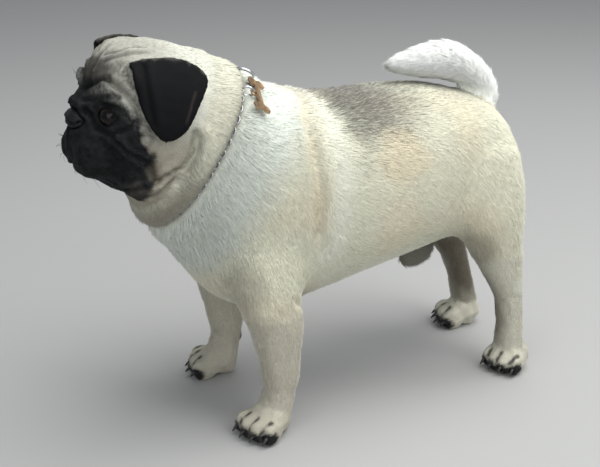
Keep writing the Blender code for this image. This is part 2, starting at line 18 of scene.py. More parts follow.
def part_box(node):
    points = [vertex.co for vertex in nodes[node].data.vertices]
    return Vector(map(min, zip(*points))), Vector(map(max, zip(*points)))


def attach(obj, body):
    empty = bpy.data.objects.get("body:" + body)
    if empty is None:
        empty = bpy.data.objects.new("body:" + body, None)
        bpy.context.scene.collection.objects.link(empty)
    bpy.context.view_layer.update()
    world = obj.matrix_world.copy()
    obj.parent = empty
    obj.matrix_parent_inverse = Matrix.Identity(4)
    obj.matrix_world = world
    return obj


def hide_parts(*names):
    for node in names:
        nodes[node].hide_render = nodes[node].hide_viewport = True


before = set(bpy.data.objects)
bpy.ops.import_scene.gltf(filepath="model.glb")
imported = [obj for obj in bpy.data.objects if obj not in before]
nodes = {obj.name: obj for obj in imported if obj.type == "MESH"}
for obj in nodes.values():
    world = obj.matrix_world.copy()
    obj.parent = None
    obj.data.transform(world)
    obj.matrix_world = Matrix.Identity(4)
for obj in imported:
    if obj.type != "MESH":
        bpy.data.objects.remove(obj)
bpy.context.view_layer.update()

# %% [markdown]
# ## Camera, floor and light
# The camera stands where the photographer stood: at the dog's front left, about a metre away,
# looking down on its back. A camera in Blender looks along its own -Z with +Y up, so its
# rotation is the matrix whose columns are the right, the up and the backward direction.

# %% Camera
CAMERA_PLACE = Vector((0.97863, -0.49507, 0.55902))
CAMERA_RIGHT = Vector((0.442546, 0.896702, -0.008828))
CAMERA_UP = Vector((-0.297853, 0.156270, 0.941734))
CAMERA_LENS = 69.32
PHOTO_WIDTH = 600.0
PHOTO_HEIGHT = 467.0

lens = bpy.data.cameras.new("camera")
lens.lens = CAMERA_LENS
lens.sensor_width = 36.0
lens.clip_start = 0.05
camera = bpy.data.objects.new("camera", lens)
bpy.context.scene.collection.objects.link(camera)
backward = CAMERA_RIGHT.cross(CAMERA_UP)
camera.matrix_world = Matrix.Translation(CAMERA_PLACE) @ Matrix(
    (CAMERA_RIGHT, CAMERA_UP, backward)
).transposed().to_4x4()
bpy.context.scene.camera = camera
print("camera height", round(CAMERA_PLACE.z, 3), "lens", CAMERA_LENS)

# %% [markdown]
# A dull day gives light from the whole sky, which is why the dog throws almost no shadow.
# One very large lamp overhead is the sky, two weaker ones at the side and in front are the
# light that ground and houses send back, and a pale world fills in the rest.


# %% Floor, lamps and world
def new_node(tree, kind, values=None, **settings):
    """A new node, with its settings and the values of some of its inputs."""
    made = tree.nodes.new(kind)
    for name, value in settings.items():
        setattr(made, name, value)
    for socket, value in (values or {}).items():
        made.inputs[socket].default_value = value
    return made


def plain_material(name, colour, roughness, others=None):
    """A Principled material with its own colour and roughness, and other inputs by name."""
    made = bpy.data.materials.new(name)
    made.use_nodes = True
    shader = made.node_tree.nodes["Principled BSDF"]
    shader.inputs["Base Color"].default_value = (*colour, 1.0)
    shader.inputs["Roughness"].default_value = roughness
    for socket, value in (others or {}).items():
        shader.inputs[socket].default_value = value
    return made


def add_lamp(name, place, target, width, power, colour):
    """A square lamp that looks at a point."""
    data = bpy.data.lights.new(name, "AREA")
    data.shape = "SQUARE"
    data.size = width
    data.energy = power
    data.color = colour
    made = bpy.data.objects.new(name, data)
    bpy.context.scene.collection.objects.link(made)
    made.location = place
    made.rotation_mode = "QUATERNION"
    made.rotation_quaternion = (Vector(target) - Vector(place)).to_track_quat("-Z", "Y")


def make_floor(half=6.0):
    """A wide pale sheet at floor level."""
    bm = bmesh.new()
    bmesh.ops.create_grid(bm, x_segments=1, y_segments=1, size=half)
    mesh = bpy.data.meshes.new("floor")
    bm.to_mesh(mesh)
    bm.free()
    made = bpy.data.objects.new("floor", mesh)
    bpy.context.scene.collection.objects.link(made)
    mesh.materials.append(plain_material("pale floor", (0.37, 0.37, 0.365), 0.8))


make_floor()
add_lamp("sky", (0.45, 0.55, 2.3), (0.0, 0.0, 0.2), 2.4, 80.0, (1.0, 1.0, 0.98))
add_lamp("front", (1.5, -1.7, 0.7), (0.0, -0.1, 0.15), 1.6, 13.0, (0.98, 0.99, 1.0))
add_lamp("fill", (2.0, 0.7, 1.2), (0.0, 0.0, 0.2), 1.8, 22.0, (0.98, 0.99, 1.0))
world = bpy.data.worlds.new("soft day")
world.use_nodes = True
world.node_tree.nodes["Background"].inputs["Color"].default_value = (0.86, 0.90, 0.95, 1.0)
world.node_tree.nodes["Background"].inputs["Strength"].default_value = 0.42
bpy.context.scene.world = world
bpy.context.scene.view_settings.view_transform = "Standard"

# %% [markdown]
# ## Meshes as arrays
# The skin and the coat have hundreds of thousands of points. Blender's meshes can hand all
# of them to NumPy at once, which moves them in one step where a Python loop would take minutes.


# %% Array helpers
def read(collection, attribute, width):
    """All values of one attribute of a mesh's vertices, edges or faces, as an array."""
    kind = np.int32 if attribute in {"vertices", "polygon_index", "loop_start"} else np.float32
    values = np.empty(len(collection) * width, kind)
    collection.foreach_get(attribute, values)
    return values.reshape(-1, width) if width > 1 else values


def add_object(name, mesh):
    """Put a mesh in the scene as an object."""
    made = bpy.data.objects.new(name, mesh)
    bpy.context.scene.collection.objects.link(made)
    return made


def settle(item):
    """Replace an object's mesh with what its modifiers make of it."""
    graph = bpy.context.evaluated_depsgraph_get()
    mesh = bpy.data.meshes.new_from_object(item.evaluated_get(graph))
    item.modifiers.clear()
    item.data = mesh


def unit(rows):
    """Each row of an array with length one."""
    return rows / np.maximum(np.linalg.norm(rows, axis=-1, keepdims=True), 1e-9)


def ramp(values, start, end):
    """A smooth step from 0 at start to 1 at end."""
    share = np.clip((values - start) / (end - start), 0.0, 1.0)
    return share * share * (3.0 - 2.0 * share)


def fall(values, start, end):
    """A smooth step from 1 at start to 0 at end."""
    return 1.0 - ramp(values, start, end)


def bell(values, width):
    """1 at zero, falling off on both sides."""
    return np.exp(-((values / width) ** 2))


# %% [markdown]
# ## One skin
# The solids were parted where a person would name the pieces, with gaps of 0.4 mm. A dog has
# one skin, so copies of all of them are joined here. Each is swollen until the gaps close,
# and Voxel Remesh then keeps only the outside of the heap, as one even net of small squares.

# %% Join the pieces of the body
NOT_FLESH = ("eye", "nose", "claw", "chain", "ring", "tag")
SWELL = 0.0003
SKIN_VOXEL = 0.00145
CURL_LIFT = 0.0035
CURL_FROM, CURL_TO = 0.185, 0.150

flesh = sorted(name for name in nodes if not any(word in name for word in NOT_FLESH))


def curl_lift(y):
    """How far the curl of the tail is raised, so that its skin doesn't fuse with the back's."""
    return CURL_LIFT * min(max((CURL_FROM - y) / (CURL_FROM - CURL_TO), 0.0), 1.0)


def joined_copy(names, push):
    """One mesh of several solids, each swollen by a little."""
    bm = bmesh.new()
    for name in names:
        before = len(bm.verts)
        bm.from_mesh(nodes[name].data)
        if name.startswith("tail"):
            bm.verts.ensure_lookup_table()
            for vert in bm.verts[before:]:
                vert.co.z += curl_lift(vert.co.y)
    bmesh.ops.remove_doubles(bm, verts=bm.verts, dist=0.00001)
    bm.normal_update()
    places = [vert.co + vert.normal * push for vert in bm.verts]
    for vert, place in zip(bm.verts, places):
        vert.co = place
    mesh = bpy.data.meshes.new("joined")
    bm.to_mesh(mesh)
    bm.free()
    return mesh


def keep_largest(mesh):
    """Remove all but the largest connected part of a mesh."""
    count = len(mesh.vertices)
    ends = read(mesh.edges, "vertices", 2)
    label = np.arange(count)
    while True:
        lowest = np.minimum(label[ends[:, 0]], label[ends[:, 1]])
        new = label.copy()
        np.minimum.at(new, ends[:, 0], lowest)
        np.minimum.at(new, ends[:, 1], lowest)
        new = new[new]
        if np.array_equal(new, label):
            break
        label = new
    names, sizes = np.unique(label, return_counts=True)
    loose = np.flatnonzero(label != names[sizes.argmax()])
    bm = bmesh.new()
    bm.from_mesh(mesh)
    bm.verts.ensure_lookup_table()
    bmesh.ops.delete(bm, geom=[bm.verts[i] for i in loose.tolist()], context="VERTS")
    bm.to_mesh(mesh)
    bm.free()
    return len(names)


skin = add_object("skin", joined_copy(flesh + ["eye_L", "eye_R"], SWELL))
merge = skin.modifiers.new("Merge", "REMESH")
merge.mode = "VOXEL"
merge.voxel_size = SKIN_VOXEL
settle(skin)
print("shells", keep_largest(skin.data), "points", len(skin.data.vertices))

# %% [markdown]
# The solids are faceted, and facets would shine through the coat. Plain smoothing shrinks a
# form like a deflating ball. Taubin's way takes a step of smoothing and then a slightly larger
# step back, so the small bumps go and the volume stays. Each point looks only at its neighbours.

# %% Smooth without shrinking
HEAD_ROUNDS = 34
BODY_ROUNDS = 110
SMOOTH_STEPS = (0.55, -0.575)
NAPE_Y = -0.105
PAW_TOP = 0.036


class Neighbours:
    """The neighbours of every point of a mesh, for averages over the surface."""

    def __init__(self, mesh):
        ends = read(mesh.edges, "vertices", 2)
        from_end = np.concatenate([ends[:, 0], ends[:, 1]])
        to_end = np.concatenate([ends[:, 1], ends[:, 0]])
        order = np.argsort(from_end, kind="stable")
        self.other = to_end[order]
        self.degree = np.bincount(from_end, minlength=len(mesh.vertices))
        self.start = np.concatenate([[0], np.cumsum(self.degree)[:-1]])

    def mean(self, values):
        """The average of a value over each point's neighbours."""
        total = np.add.reduceat(values[self.other], self.start, axis=0)
        return total / self.degree[:, None]


def taubin(points, near, rounds, weight):
    """Smooth points where the weight is 1, keep them where it is 0."""
    for _ in range(rounds):
        for step in SMOOTH_STEPS:
            points = points + (near.mean(points) - points) * step * weight
    return points


near = Neighbours(skin.data)
points = read(skin.data.vertices, "co", 3).astype(np.float64)
points = taubin(points, near, HEAD_ROUNDS, 1.0)
broad = ramp(points[:, 1], NAPE_Y - 0.03, NAPE_Y) * ramp(points[:, 2], PAW_TOP, PAW_TOP + 0.02)
points = taubin(points, near, BODY_ROUNDS - HEAD_ROUNDS, broad[:, None])
print("skin smoothed, height", round(points[:, 2].max(), 4))

# %% [markdown]
# Many choices below depend on the part of the body: hair is short on a paw and long on the
# neck. Each point of the skin takes the name of the nearest solid. A BVH tree finds the
# nearest face of thousands without looking at them all.

# %% Which part of the body a point belongs to
PARTS = ("head", "ear", "neck", "trunk", "limb", "shin", "paw", "tail", "sheath")
PART_WORDS = {
    "head": "head", "lower_jaw": "head", "ear": "ear", "neck": "neck", "chest": "trunk",
    "loin": "trunk", "rump": "trunk", "shoulder": "limb", "thigh": "limb", "forearm": "shin",
    "shank": "shin", "hock": "shin", "fore_paw": "paw", "hind_paw": "paw", "tail": "tail",
    "sheath": "sheath", "eye": "head",
}


def part_number(name):
    """The number of the body part that a solid belongs to."""
    word = max((w for w in PART_WORDS if name.startswith(w)), key=len)
    return PARTS.index(PART_WORDS[word])


def solids_tree():
    """A search tree over the solids of flesh, and the part number of each of its faces."""
    corners, faces, owners = [], [], []
    for name in flesh + ["eye_L", "eye_R"]:
        mesh = nodes[name].data
        base = len(corners)
        corners += [vert.co.copy() for vert in mesh.vertices]
        faces += [[base + i for i in face.vertices] for face in mesh.polygons]
        owners += [part_number(name)] * len(mesh.polygons)
    return BVHTree.FromPolygons(corners, faces), owners


def parts_of(places):
    """The part number of the nearest solid, for each place."""
    found = [solid_tree.find_nearest(place)[2] for place in places.tolist()]
    return np.array([solid_owner[index] for index in found])


def is_part(numbers, *names):
    """True where a part number is one of these parts."""
    return np.isin(numbers, [PARTS.index(name) for name in names])


solid_tree, solid_owner = solids_tree()
part = parts_of(points)
print("points per part", {name: int((part == i).sum()) for i, name in enumerate(PARTS)})

# %% [markdown]
# The trunk and the tops of the legs are broad, and on them even wide bumps have to go, such
# as the step where the thigh solid rises from the flank. Plain smoothing does that. It also
# shrinks, but on forms this broad by less than half a millimetre.

# %% Relax the broad forms
RELAX_ROUNDS = 130


def averaged(values, near, rounds):
    """A value softened over the surface."""
    for _ in range(rounds):
        values = near.mean(values[:, None])[:, 0]
    return values


broad = is_part(part, "trunk", "limb") * ramp(points[:, 2], 0.115, 0.165)
broad = averaged(broad, near, 14)[:, None]
for _ in range(RELAX_ROUNDS):
    points = points + (near.mean(points) - points) * 0.5 * broad
print("broad forms relaxed", int((broad > 0.5).sum()))

# %% [markdown]
# ## Depth of the coat
# The solids reach to the tips of the hair, so the skin lies lower: a millimetre on the face
# and the feet, and up to three where the ruff and the tail are thick. One function gives the
# length of the hair at any place, and the depth follows from it, so the tufts end at the
# outline of the solids. It is used again when the hair is planted.

# %% Length of the hair
NOSE_TIP = np.array([0.0, -0.2440, 0.3145])
NECK_FOLD_TOP = np.array([0.0, -0.083, 0.345])
NECK_FOLD_BOTTOM = np.array([0.0, -0.175, 0.205])
HAIR = {
    "ear": 0.0028, "limb": 0.0085, "shin": 0.0060, "paw": 0.0034, "tail": 0.0120, "sheath": 0.0075,
}
LIFT_DEGREES = 13.0
DEPTH_SHARE = 0.23


def fold_plane_distance(places):
    """How far places are behind the deep fold of the neck."""
    fall = unit(NECK_FOLD_BOTTOM - NECK_FOLD_TOP)
    behind = np.array([0.0, -fall[2], fall[1]])
    return (places - NECK_FOLD_TOP) @ behind


def hair_length(places, part):
    """Length of the coat at places on the skin."""
    from_nose = np.linalg.norm(places - NOSE_TIP, axis=1)
    length = 0.0019 + 0.0030 * ramp(from_nose, 0.020, 0.120)
    behind = fold_plane_distance(places)
    ruff = np.exp(-((behind - 0.022) / 0.038) ** 2)
    trunk = 0.0085 + 0.0045 * ruff
    stripe = np.exp(-((places[:, 1] + 0.016) / 0.016) ** 2)
    trunk = trunk + 0.0015 * stripe
    length = np.where(is_part(part, "neck"), 0.0080 + 0.0040 * ramp(behind, -0.045, 0.0), length)
    length = np.where(is_part(part, "trunk"), trunk, length)
    for name, value in HAIR.items():
        length = np.where(is_part(part, name), value, length)
    breech = is_part(part, "limb", "trunk") * ramp(places[:, 1], 0.175, 0.215)
    length = length + 0.0030 * breech * ramp(places[:, 2], 0.10, 0.15)
    return length * np.where(is_part(part, "neck"), 1.0 - 0.55 * bell(behind + 0.004, 0.008), 1.0)


length = averaged(hair_length(points, part), near, 12)
print("hair from", round(length.min() * 1000, 1), "to", round(length.max() * 1000, 1), "mm")

# %% [markdown]
# ## Places picked on the photo
# Folds and markings belong where the photo shows them, so most of their lines are picked there,
# in pixels from its left and top edges. A ray from the camera through such a pixel
# meets the solids at the place that shows there. A line on the middle plane, or one that the
# photo hardly shows, is typed in metres instead, and a line may have points of both kinds.


# %% From a pixel to the dog
def seen_at(across, down):
    """The place on the solids that shows at a pixel of the photo."""
    step = lens.sensor_width / CAMERA_LENS / PHOTO_WIDTH
    right = (across - PHOTO_WIDTH / 2) * step
    up = (PHOTO_HEIGHT / 2 - down) * step
    way = CAMERA_RIGHT * right + CAMERA_UP * up - backward
    return solid_tree.ray_cast(CAMERA_PLACE, way.normalized())[0]


def on_dog(line):
    """The places of a line whose points are pixels, two numbers each, or places, three each."""
    return np.array([seen_at(*point) if len(point) == 2 else point for point in line])


middle_place = seen_at(PHOTO_WIDTH / 2, PHOTO_HEIGHT / 2)
print("the photo's middle shows", [round(value, 3) for value in middle_place])

# %% [markdown]
# ## Folds and creases
# A pug's face is thick skin in rolls. Each crease is a short line on the dog's left, and the
# right side mirrors it. Near the line the skin sinks, and a little further out it swells on
# one or both sides, as skin does where it is pushed together. The distance to a line is found
# for all points at once, so a new fold is one more row of the table.


# %% The shape across a fold
def line_reach(places, line):
    """Distance of places from a line of points, and the way to them from its nearest point."""
    line = np.array(line)
    reach = np.full(len(places), 9.0)
    way = np.zeros_like(places)
    for start, end in zip(line[:-1], line[1:]):
        along = end - start
        share = np.clip((places - start) @ along / (along @ along), 0.0, 1.0)
        gap = places - start - share[:, None] * along
        distance = np.linalg.norm(gap, axis=1)
        closer = distance < reach
        reach[closer] = distance[closer]
        way[closer] = gap[closer]
    return reach, way


def nearest_of(crowd, line):
    """The point of a crowd that is nearest to each point of a line."""
    gaps = ((crowd[None, :, :] - line[:, None, :]) ** 2).sum(axis=2)
    return crowd[gaps.argmin(axis=1)]


def mirrored(places):
    """Places with those of the right side carried to the left."""
    return places * [1.0, 0.0, 0.0] * np.sign(places[:, :1]) + places * [0.0, 1.0, 1.0]


FOLDS = {
    # name: (line, depth, width, swelling before and behind, direction of "behind")
    "outer_brow": (
        [(107, 78.3), (112.3, 83.7), (121.7, 91.7), (129.7, 99.7), (136.3, 109), (140.3, 131.7),
         (141.7, 141)],
        0.0026, 0.0021, 0.0012, 0.0012, (0.3, 0.8, 0.5)),
    "upper_brow": (
        [(83.7, 89), (95, 82.3), (107, 79.7)],
        0.0024, 0.0021, 0.0012, 0.0010, (0.0, 0.4, 0.9)),
    "inner_brow": (
        [(84.3, 99.7), (95, 97.7), (101.7, 95.7), (111, 95.7), (119, 97.7)],
        0.0026, 0.0020, 0.0012, 0.0012, (0.0, 0.3, 0.95)),
    "upper_lid": (
        [(100.3, 101), (108.3, 103.7), (115, 107.7), (121.7, 110.3), (127, 115.7), (129.7, 121)],
        0.0020, 0.0017, 0.0006, 0.0014, (0.3, 0.4, 0.85)),
    "beside_nose": (
        [(0.0160, -0.2290, 0.3260), (92.3, 115.7), (96.3, 126), (104.3, 130), (112.3, 137),
         (120.3, 145), (128.3, 153), (137.7, 158), (145.7, 163.7), (151, 171.7), (156.3, 181)],
        0.0034, 0.0022, 0.0012, 0.0016, (0.2, 0.5, 0.85)),
    "below_pouch": (
        [(112.3, 134.3), (121.7, 130.3), (131, 125), (135, 121)],
        0.0018, 0.0017, 0.0010, 0.0008, (0.0, -0.3, 0.95)),
    "jowl": (
        [(153.7, 183.7), (161.7, 178.3), (172.3, 172.3)],
        0.0024, 0.0022, 0.0012, 0.0010, (0.0, 0.3, 0.95)),
    "behind_cheek": (
        [(175, 171.7), (183, 169), (189.7, 159.7), (195, 150.3), (199, 138.3)],
        0.0028, 0.0030, 0.0010, 0.0012, (0.0, 1.0, -0.3)),
    "temple": (
        [(127, 65), (124.3, 71.7), (127, 78.3), (133.7, 83.7)],
        0.0020, 0.0020, 0.0010, 0.0012, (0.4, 0.8, 0.3)),
    "forehead_low": (
        [(105, 60), (115, 57), (129.7, 53.7), (148, 51.7)],
        0.0017, 0.0022, 0.0009, 0.0009, (-0.6, 0.3, 0.7)),
    "forehead_high": (
        [(105, 54.5), (115, 51.7), (127, 47.7), (140, 47)],
        0.0013, 0.0020, 0.0008, 0.0008, (-0.6, 0.3, 0.7)),
    "forehead_middle": (
        [(0.000, -0.222, 0.347), (0.000, -0.218, 0.356), (0.000, -0.212, 0.364),
         (0.000, -0.204, 0.371)],
        0.0026, 0.0026, 0.0, 0.0010, (1.0, 0.0, 0.0)),
    "over_nose": (
        [(0.0000, -0.2385, 0.3265), (0.0110, -0.2360, 0.3250), (0.0180, -0.2310, 0.3205)],
        0.0022, 0.0018, 0.0, 0.0018, (0.0, 0.2, 1.0)),
    "mouth": (
        [(0.000, -0.244, 0.279), (0.007, -0.243, 0.274), (0.015, -0.238, 0.267),
         (0.025, -0.229, 0.260), (0.036, -0.218, 0.2565), (0.050, -0.206, 0.257),
         (0.058, -0.196, 0.261)],
        0.0036, 0.0019, 0.0004, 0.0018, (0.0, -0.2, 1.0)),
    "under_nose": (
        [(0.000, -0.245, 0.306), (0.000, -0.247, 0.292), (0.000, -0.245, 0.280)],
        0.0020, 0.0015, 0.0, 0.0008, (1.0, 0.0, 0.0)),
    "neck_roll": (
        [(196.6, 132), (193.5, 151.9), (187.4, 167.2), (178.2, 177.9), (165, 190), (150, 199)],
        0.0024, 0.0034, 0.0010, 0.0014, (0.2, 0.8, -0.5)),
    "ear_pocket": (
        [(143, 66), (147, 85), (151, 108), (154, 125)],
        0.0012, 0.0024, 0.0006, 0.0010, (0.0, 1.0, 0.0)),
    "elbow": (
        [(0.087, -0.066, 0.144), (0.089, -0.065, 0.140), (0.086, -0.060, 0.136)],
        0.0016, 0.0026, 0.0004, 0.0006, (0.0, 0.3, 0.95)),
}
NOSE_MIDDLE = np.array([0.0, -0.2345, 0.3143])
NOSE_REACH = np.array([0.0134, 0.0090, 0.0092])
CARPAL_PADS = [(0.0740, -0.0565, 0.0470), (-0.0640, -0.0585, 0.0430)]
TAN_LINE = on_dog([
    (0.000, -0.026, 0.318), (0.030, -0.031, 0.314), (0.050, -0.039, 0.304), (305, 130),
    (312, 160), (318, 200), (318, 240), (0.087, -0.042, 0.180),
])
# Grooves have a depth and a width, and rolls a height, a distance from the line and a width.
SIDE_BLEND = 0.0008
SWELLING_PLACE = 2.3
SWELLING_WIDTH = 1.3
TAN_GROOVE = (0.0017, 0.0048)
TAN_ROLL = (0.0020, 0.011, 0.007)
NOSE_ROLL = (0.0024, 1.42, 0.30)
PAD_BUMP = (0.0024, 0.0040)
NECK_CREASE = (0.0042, 0.0042)
NECK_ROLL_BEHIND = (0.0022, 0.013, 0.008)
NECK_ROLL_BEFORE = (0.0020, 0.013, 0.008)


def nose_reach(places):
    """How far places are from the middle of the nose, as a share of its half size."""
    return np.linalg.norm((places - NOSE_MIDDLE) / NOSE_REACH, axis=1)


def fold_height(places):
    """How far each place is raised or sunk by the folds near it."""
    height = np.zeros(len(places))
    left = mirrored(places)
    for name, (_, depth, width, before, behind, direction) in FOLDS.items():
        reach, way = line_reach(left, FOLD_LINES[name])
        side = np.tanh(way @ unit(np.array(direction)) / SIDE_BLEND)
        swelling = np.where(side > 0, behind, before) * np.abs(side)
        height += swelling * bell(reach - SWELLING_PLACE * width, SWELLING_WIDTH * width)
        height -= depth * bell(reach, width)
    reach, _ = line_reach(left, TAN_LINE)
    fading = ramp(left[:, 2], 0.180, 0.205) * (1.0 - 0.7 * bell(left[:, 0], 0.025))
    rise, off, spread = TAN_ROLL
    height += fading * rise * bell(reach - off, spread)
    height -= fading * TAN_GROOVE[0] * bell(reach, TAN_GROOVE[1])
    rise, off, spread = NOSE_ROLL
    height += rise * bell(nose_reach(places) - off, spread)
    for pad in CARPAL_PADS:
        height += PAD_BUMP[0] * bell(np.linalg.norm(places - pad, axis=1), PAD_BUMP[1])
    return height


def neck_fold_height(places, part):
    """The deep fold that runs right round the neck, with a roll before and behind it."""
    behind = fold_plane_distance(places)
    deep = 0.35 + 0.65 * ramp(np.abs(places[:, 0]), 0.020, 0.055)
    crease = -NECK_CREASE[0] * bell(behind, NECK_CREASE[1])
    rise, off, spread = NECK_ROLL_BEHIND
    rolls = rise * bell(behind - off, spread)
    rise, off, spread = NECK_ROLL_BEFORE
    rolls = rolls + rise * bell(behind + off, spread)
    return np.where(is_part(part, "neck", "trunk"), deep * (crease + rolls), 0.0)


left_points = points[points[:, 0] > -0.001]
FOLD_LINES = {name: nearest_of(left_points, on_dog(row[0])) for name, row in FOLDS.items()}
fold = fold_height(points) + neck_fold_height(points, part)
print("folds from", round(fold.min() * 1000, 1), "to", round(fold.max() * 1000, 1), "mm")

# %% [markdown]
# ## Eyelids
# A pug's eyes are large round balls, half covered by lids. The ball was joined into the
# skin, so the skin already runs over it. Around an almond-shaped opening the skin now
# becomes a lid: just outside the almond it stands a millimetre off the ball, and inside it
# dives below the surface of the eye, which is a piece of its own.

# %% Lids round the opening
EYE_CENTRE = np.array([0.0330, -0.2105, 0.3210])
EYE_RADIUS = 0.0124
GAZE = unit(np.array([0.56, -0.81, 0.10]))
EYE_ACROSS = unit(np.cross([0.0, 0.0, 1.0], GAZE))
EYE_UP = np.cross(GAZE, EYE_ACROSS)
LID_ANGLES = (math.radians(57.0), math.radians(43.0))
LID_HEIGHT = 0.0015
LID_SINK = 0.0030
UPPER_LID_SHARE = 0.92
CORNER_NARROWING = 0.30


def eye_angles(places):
    """Where places are as seen from the middle of the left eye: across, up and how far."""
    seen = mirrored(places) - EYE_CENTRE
    front = seen @ GAZE
    across = np.arctan2(seen @ EYE_ACROSS, front)
    up = np.arctan2(seen @ EYE_UP, front)
    return across, up, np.linalg.norm(seen, axis=1)


def lid_angle(across, upper):
    """The angle from the gaze up or down to the edge of a lid, at an angle across."""
    narrow = 1.0 - CORNER_NARROWING * np.clip(np.abs(across) / LID_ANGLES[0], 0.0, 1.0) ** 2
    return LID_ANGLES[1] * narrow * np.where(upper, UPPER_LID_SHARE, 1.0)


def lid_opening(across, up):
    """Below 1 inside the almond between the lids."""
    return np.hypot(across / LID_ANGLES[0], up / lid_angle(across, up > 0))


def shape_lids(places):
    """Move the skin round the eyes to the rim of the lids, and sink it behind the ball."""
    across, up, far = eye_angles(places)
    opening = lid_opening(across, up)
    close = far < EYE_RADIUS + 0.006
    rim = EYE_RADIUS + LID_HEIGHT * fall(opening, 1.25, 2.1)
    wanted = np.where(opening < 1.0, EYE_RADIUS - LID_SINK, np.maximum(far, rim))
    centre = np.where(places[:, :1] < 0, EYE_CENTRE * [-1, 1, 1], EYE_CENTRE)
    moved = centre + (places - centre) * (wanted / far)[:, None]
    return np.where(close[:, None], moved, places)


def vertex_normals(mesh):
    """The direction that each point of a mesh faces."""
    return read(mesh.vertex_normals, "vector", 3).astype(np.float64)


def place_points(mesh, places):
    """Move the points of a mesh."""
    mesh.vertices.foreach_set("co", places.astype(np.float32).ravel())
    mesh.update()


place_points(skin.data, points)
across, up, far = eye_angles(points)
covered = ramp(far, EYE_RADIUS + 0.0005, EYE_RADIUS + 0.0045)
depth = length * DEPTH_SHARE * covered
points = points + vertex_normals(skin.data) * (averaged(fold, near, 1) - depth)[:, None]
points[:, 2] = np.maximum(points[:, 2], 0.0003)
points = shape_lids(points)
place_points(skin.data, points)
print("coat depth up to", round(depth.max() * 1000, 1), "mm")

# %% [markdown]
# The even net has more faces than one piece may have. Decimate joins faces where a vertex group
# allows it. The head and the ears are left out of the group and keep every square, the feet are
# thinned less, and the trunk, which the coat covers, is thinned to three millimetres.

# %% Thin the skin outside the head
SKIN_TRIANGLES = 190000
coarse = np.where(is_part(part, "head", "ear"), 0.0, np.where(is_part(part, "paw"), 0.4, 1.0))
group = skin.vertex_groups.new(name="thin")
for weight in (0.4, 1.0):
    group.add(np.flatnonzero(coarse == weight).tolist(), weight, "REPLACE")
thin = skin.modifiers.new("Thin", "DECIMATE")
thin.ratio = SKIN_TRIANGLES / (2 * len(skin.data.polygons))
thin.vertex_group = "thin"
thin.use_collapse_triangulate = True
settle(skin)
skin.vertex_groups.clear()
skin.data.shade_smooth()
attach(skin, "root")
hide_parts(*flesh)

near = Neighbours(skin.data)
points = read(skin.data.vertices, "co", 3).astype(np.float64)
normals = vertex_normals(skin.data)
part = parts_of(points)
length = averaged(hair_length(points, part), near, 4)
print("skin triangles", len(skin.data.polygons), "points", len(points))

# %% [markdown]
# ## Markings
# A fawn pug has a black mask and ears, a grey saddle of black-tipped hair, and paler
# stripes where the coat turns. Skin and hair must agree, so one function gives the colour
# of any place, and both ask it. Real markings have ragged edges, which come from a noise:
# random numbers on a lattice of points in space, blended smoothly in between.

# %% Noise in space
LATTICE_STEPS = np.array([73856093, 19349663, 83492791])
SEED_STEP = 7919
MIXER = 1274126177


def noise(places, size, seed):
    """Smooth random values from -1 to 1 that change over about the given size."""
    cell = places / size
    low = np.floor(cell).astype(np.int64)
    share = cell - low
    share = share * share * (3.0 - 2.0 * share)
    total = np.zeros(len(places))
    for corner in np.ndindex(2, 2, 2):
        mixed = ((low + corner) * LATTICE_STEPS).sum(axis=1) + seed * SEED_STEP
        mixed = (mixed ^ (mixed >> 13)) * MIXER
        value = ((mixed ^ (mixed >> 16)) & 65535) / 32767.5 - 1.0
        total += value * np.prod(np.where(corner, share, 1.0 - share), axis=1)
    return total


print("noise of three points", noise(points[:3], 0.01, 1).round(2))

# %% [markdown]
# The mask ends on a line behind the cheek and on another across the forehead. Both are picked
# on the photo, and a place is inside when it is in front of the first and below the second.
# A little noise is added to that distance before it becomes a soft step, so the edge frays.

# %% The mask, the brows and the saddle
MASK_BEHIND = [
    (140, 200), (150, 190), (157, 180), (157, 165), (150, 150), (142, 140), (141, 125),
    (137, 110), (125, 100), (112, 88),
]
MASK_ABOVE = [(95, 70), (103, 76), (112, 88), (125, 100), (137, 110)]
# Height and the y where the mask ends, then distance from the middle and the height there.
MASK_SIDE = [(0.230, -0.212)] + [(z, y) for _, y, z in on_dog(MASK_BEHIND)] + [(0.357, -0.217)]
MASK_TOP = [(0.000, 0.357)] + [(x, z) for x, _, z in on_dog(MASK_ABOVE)] + [(0.070, 0.325)]
PALE_BROW = [
    (0.0200, -0.2235, 0.3420), (0.0335, -0.2180, 0.3470), (0.0440, -0.2150, 0.3455),
    (0.0510, -0.2085, 0.3400), (0.0565, -0.2030, 0.3330), (0.0595, -0.2000, 0.3265),
]
SADDLE_EDGE = [
    # y, and how far from the middle the saddle reaches
    (-0.020, 0.034), (-0.005, 0.052), (0.008, 0.064), (0.036, 0.065), (0.070, 0.059),
    (0.110, 0.044), (0.160, 0.024), (0.175, 0.010),
]
SPECKLED = on_dog([(118, 68), (130, 80), (135, 90), (142, 110), (0.0650, -0.1915, 0.3080)])
EAR_RIMS = [
    # the fold of the left ear from front to back, and then that of the right
    [(0.0340, -0.1980, 0.3660), (0.0440, -0.1760, 0.3720), (0.0505, -0.1470, 0.3710),
     (0.0600, -0.1270, 0.3520)],
    [(-0.0340, -0.2030, 0.3745), (-0.0440, -0.1830, 0.3795), (-0.0505, -0.1530, 0.3755),
     (-0.0600, -0.1300, 0.3560)],
]
EAR_CREASE = on_dog([(196, 92), (192, 104), (190, 113), (187, 122)])
STRIPE = on_dog([
    (0.000, -0.0195, 0.3175), (305, 96), (320, 110), (333, 135), (340, 165), (342, 195),
    (338, 225), (330, 250),
])


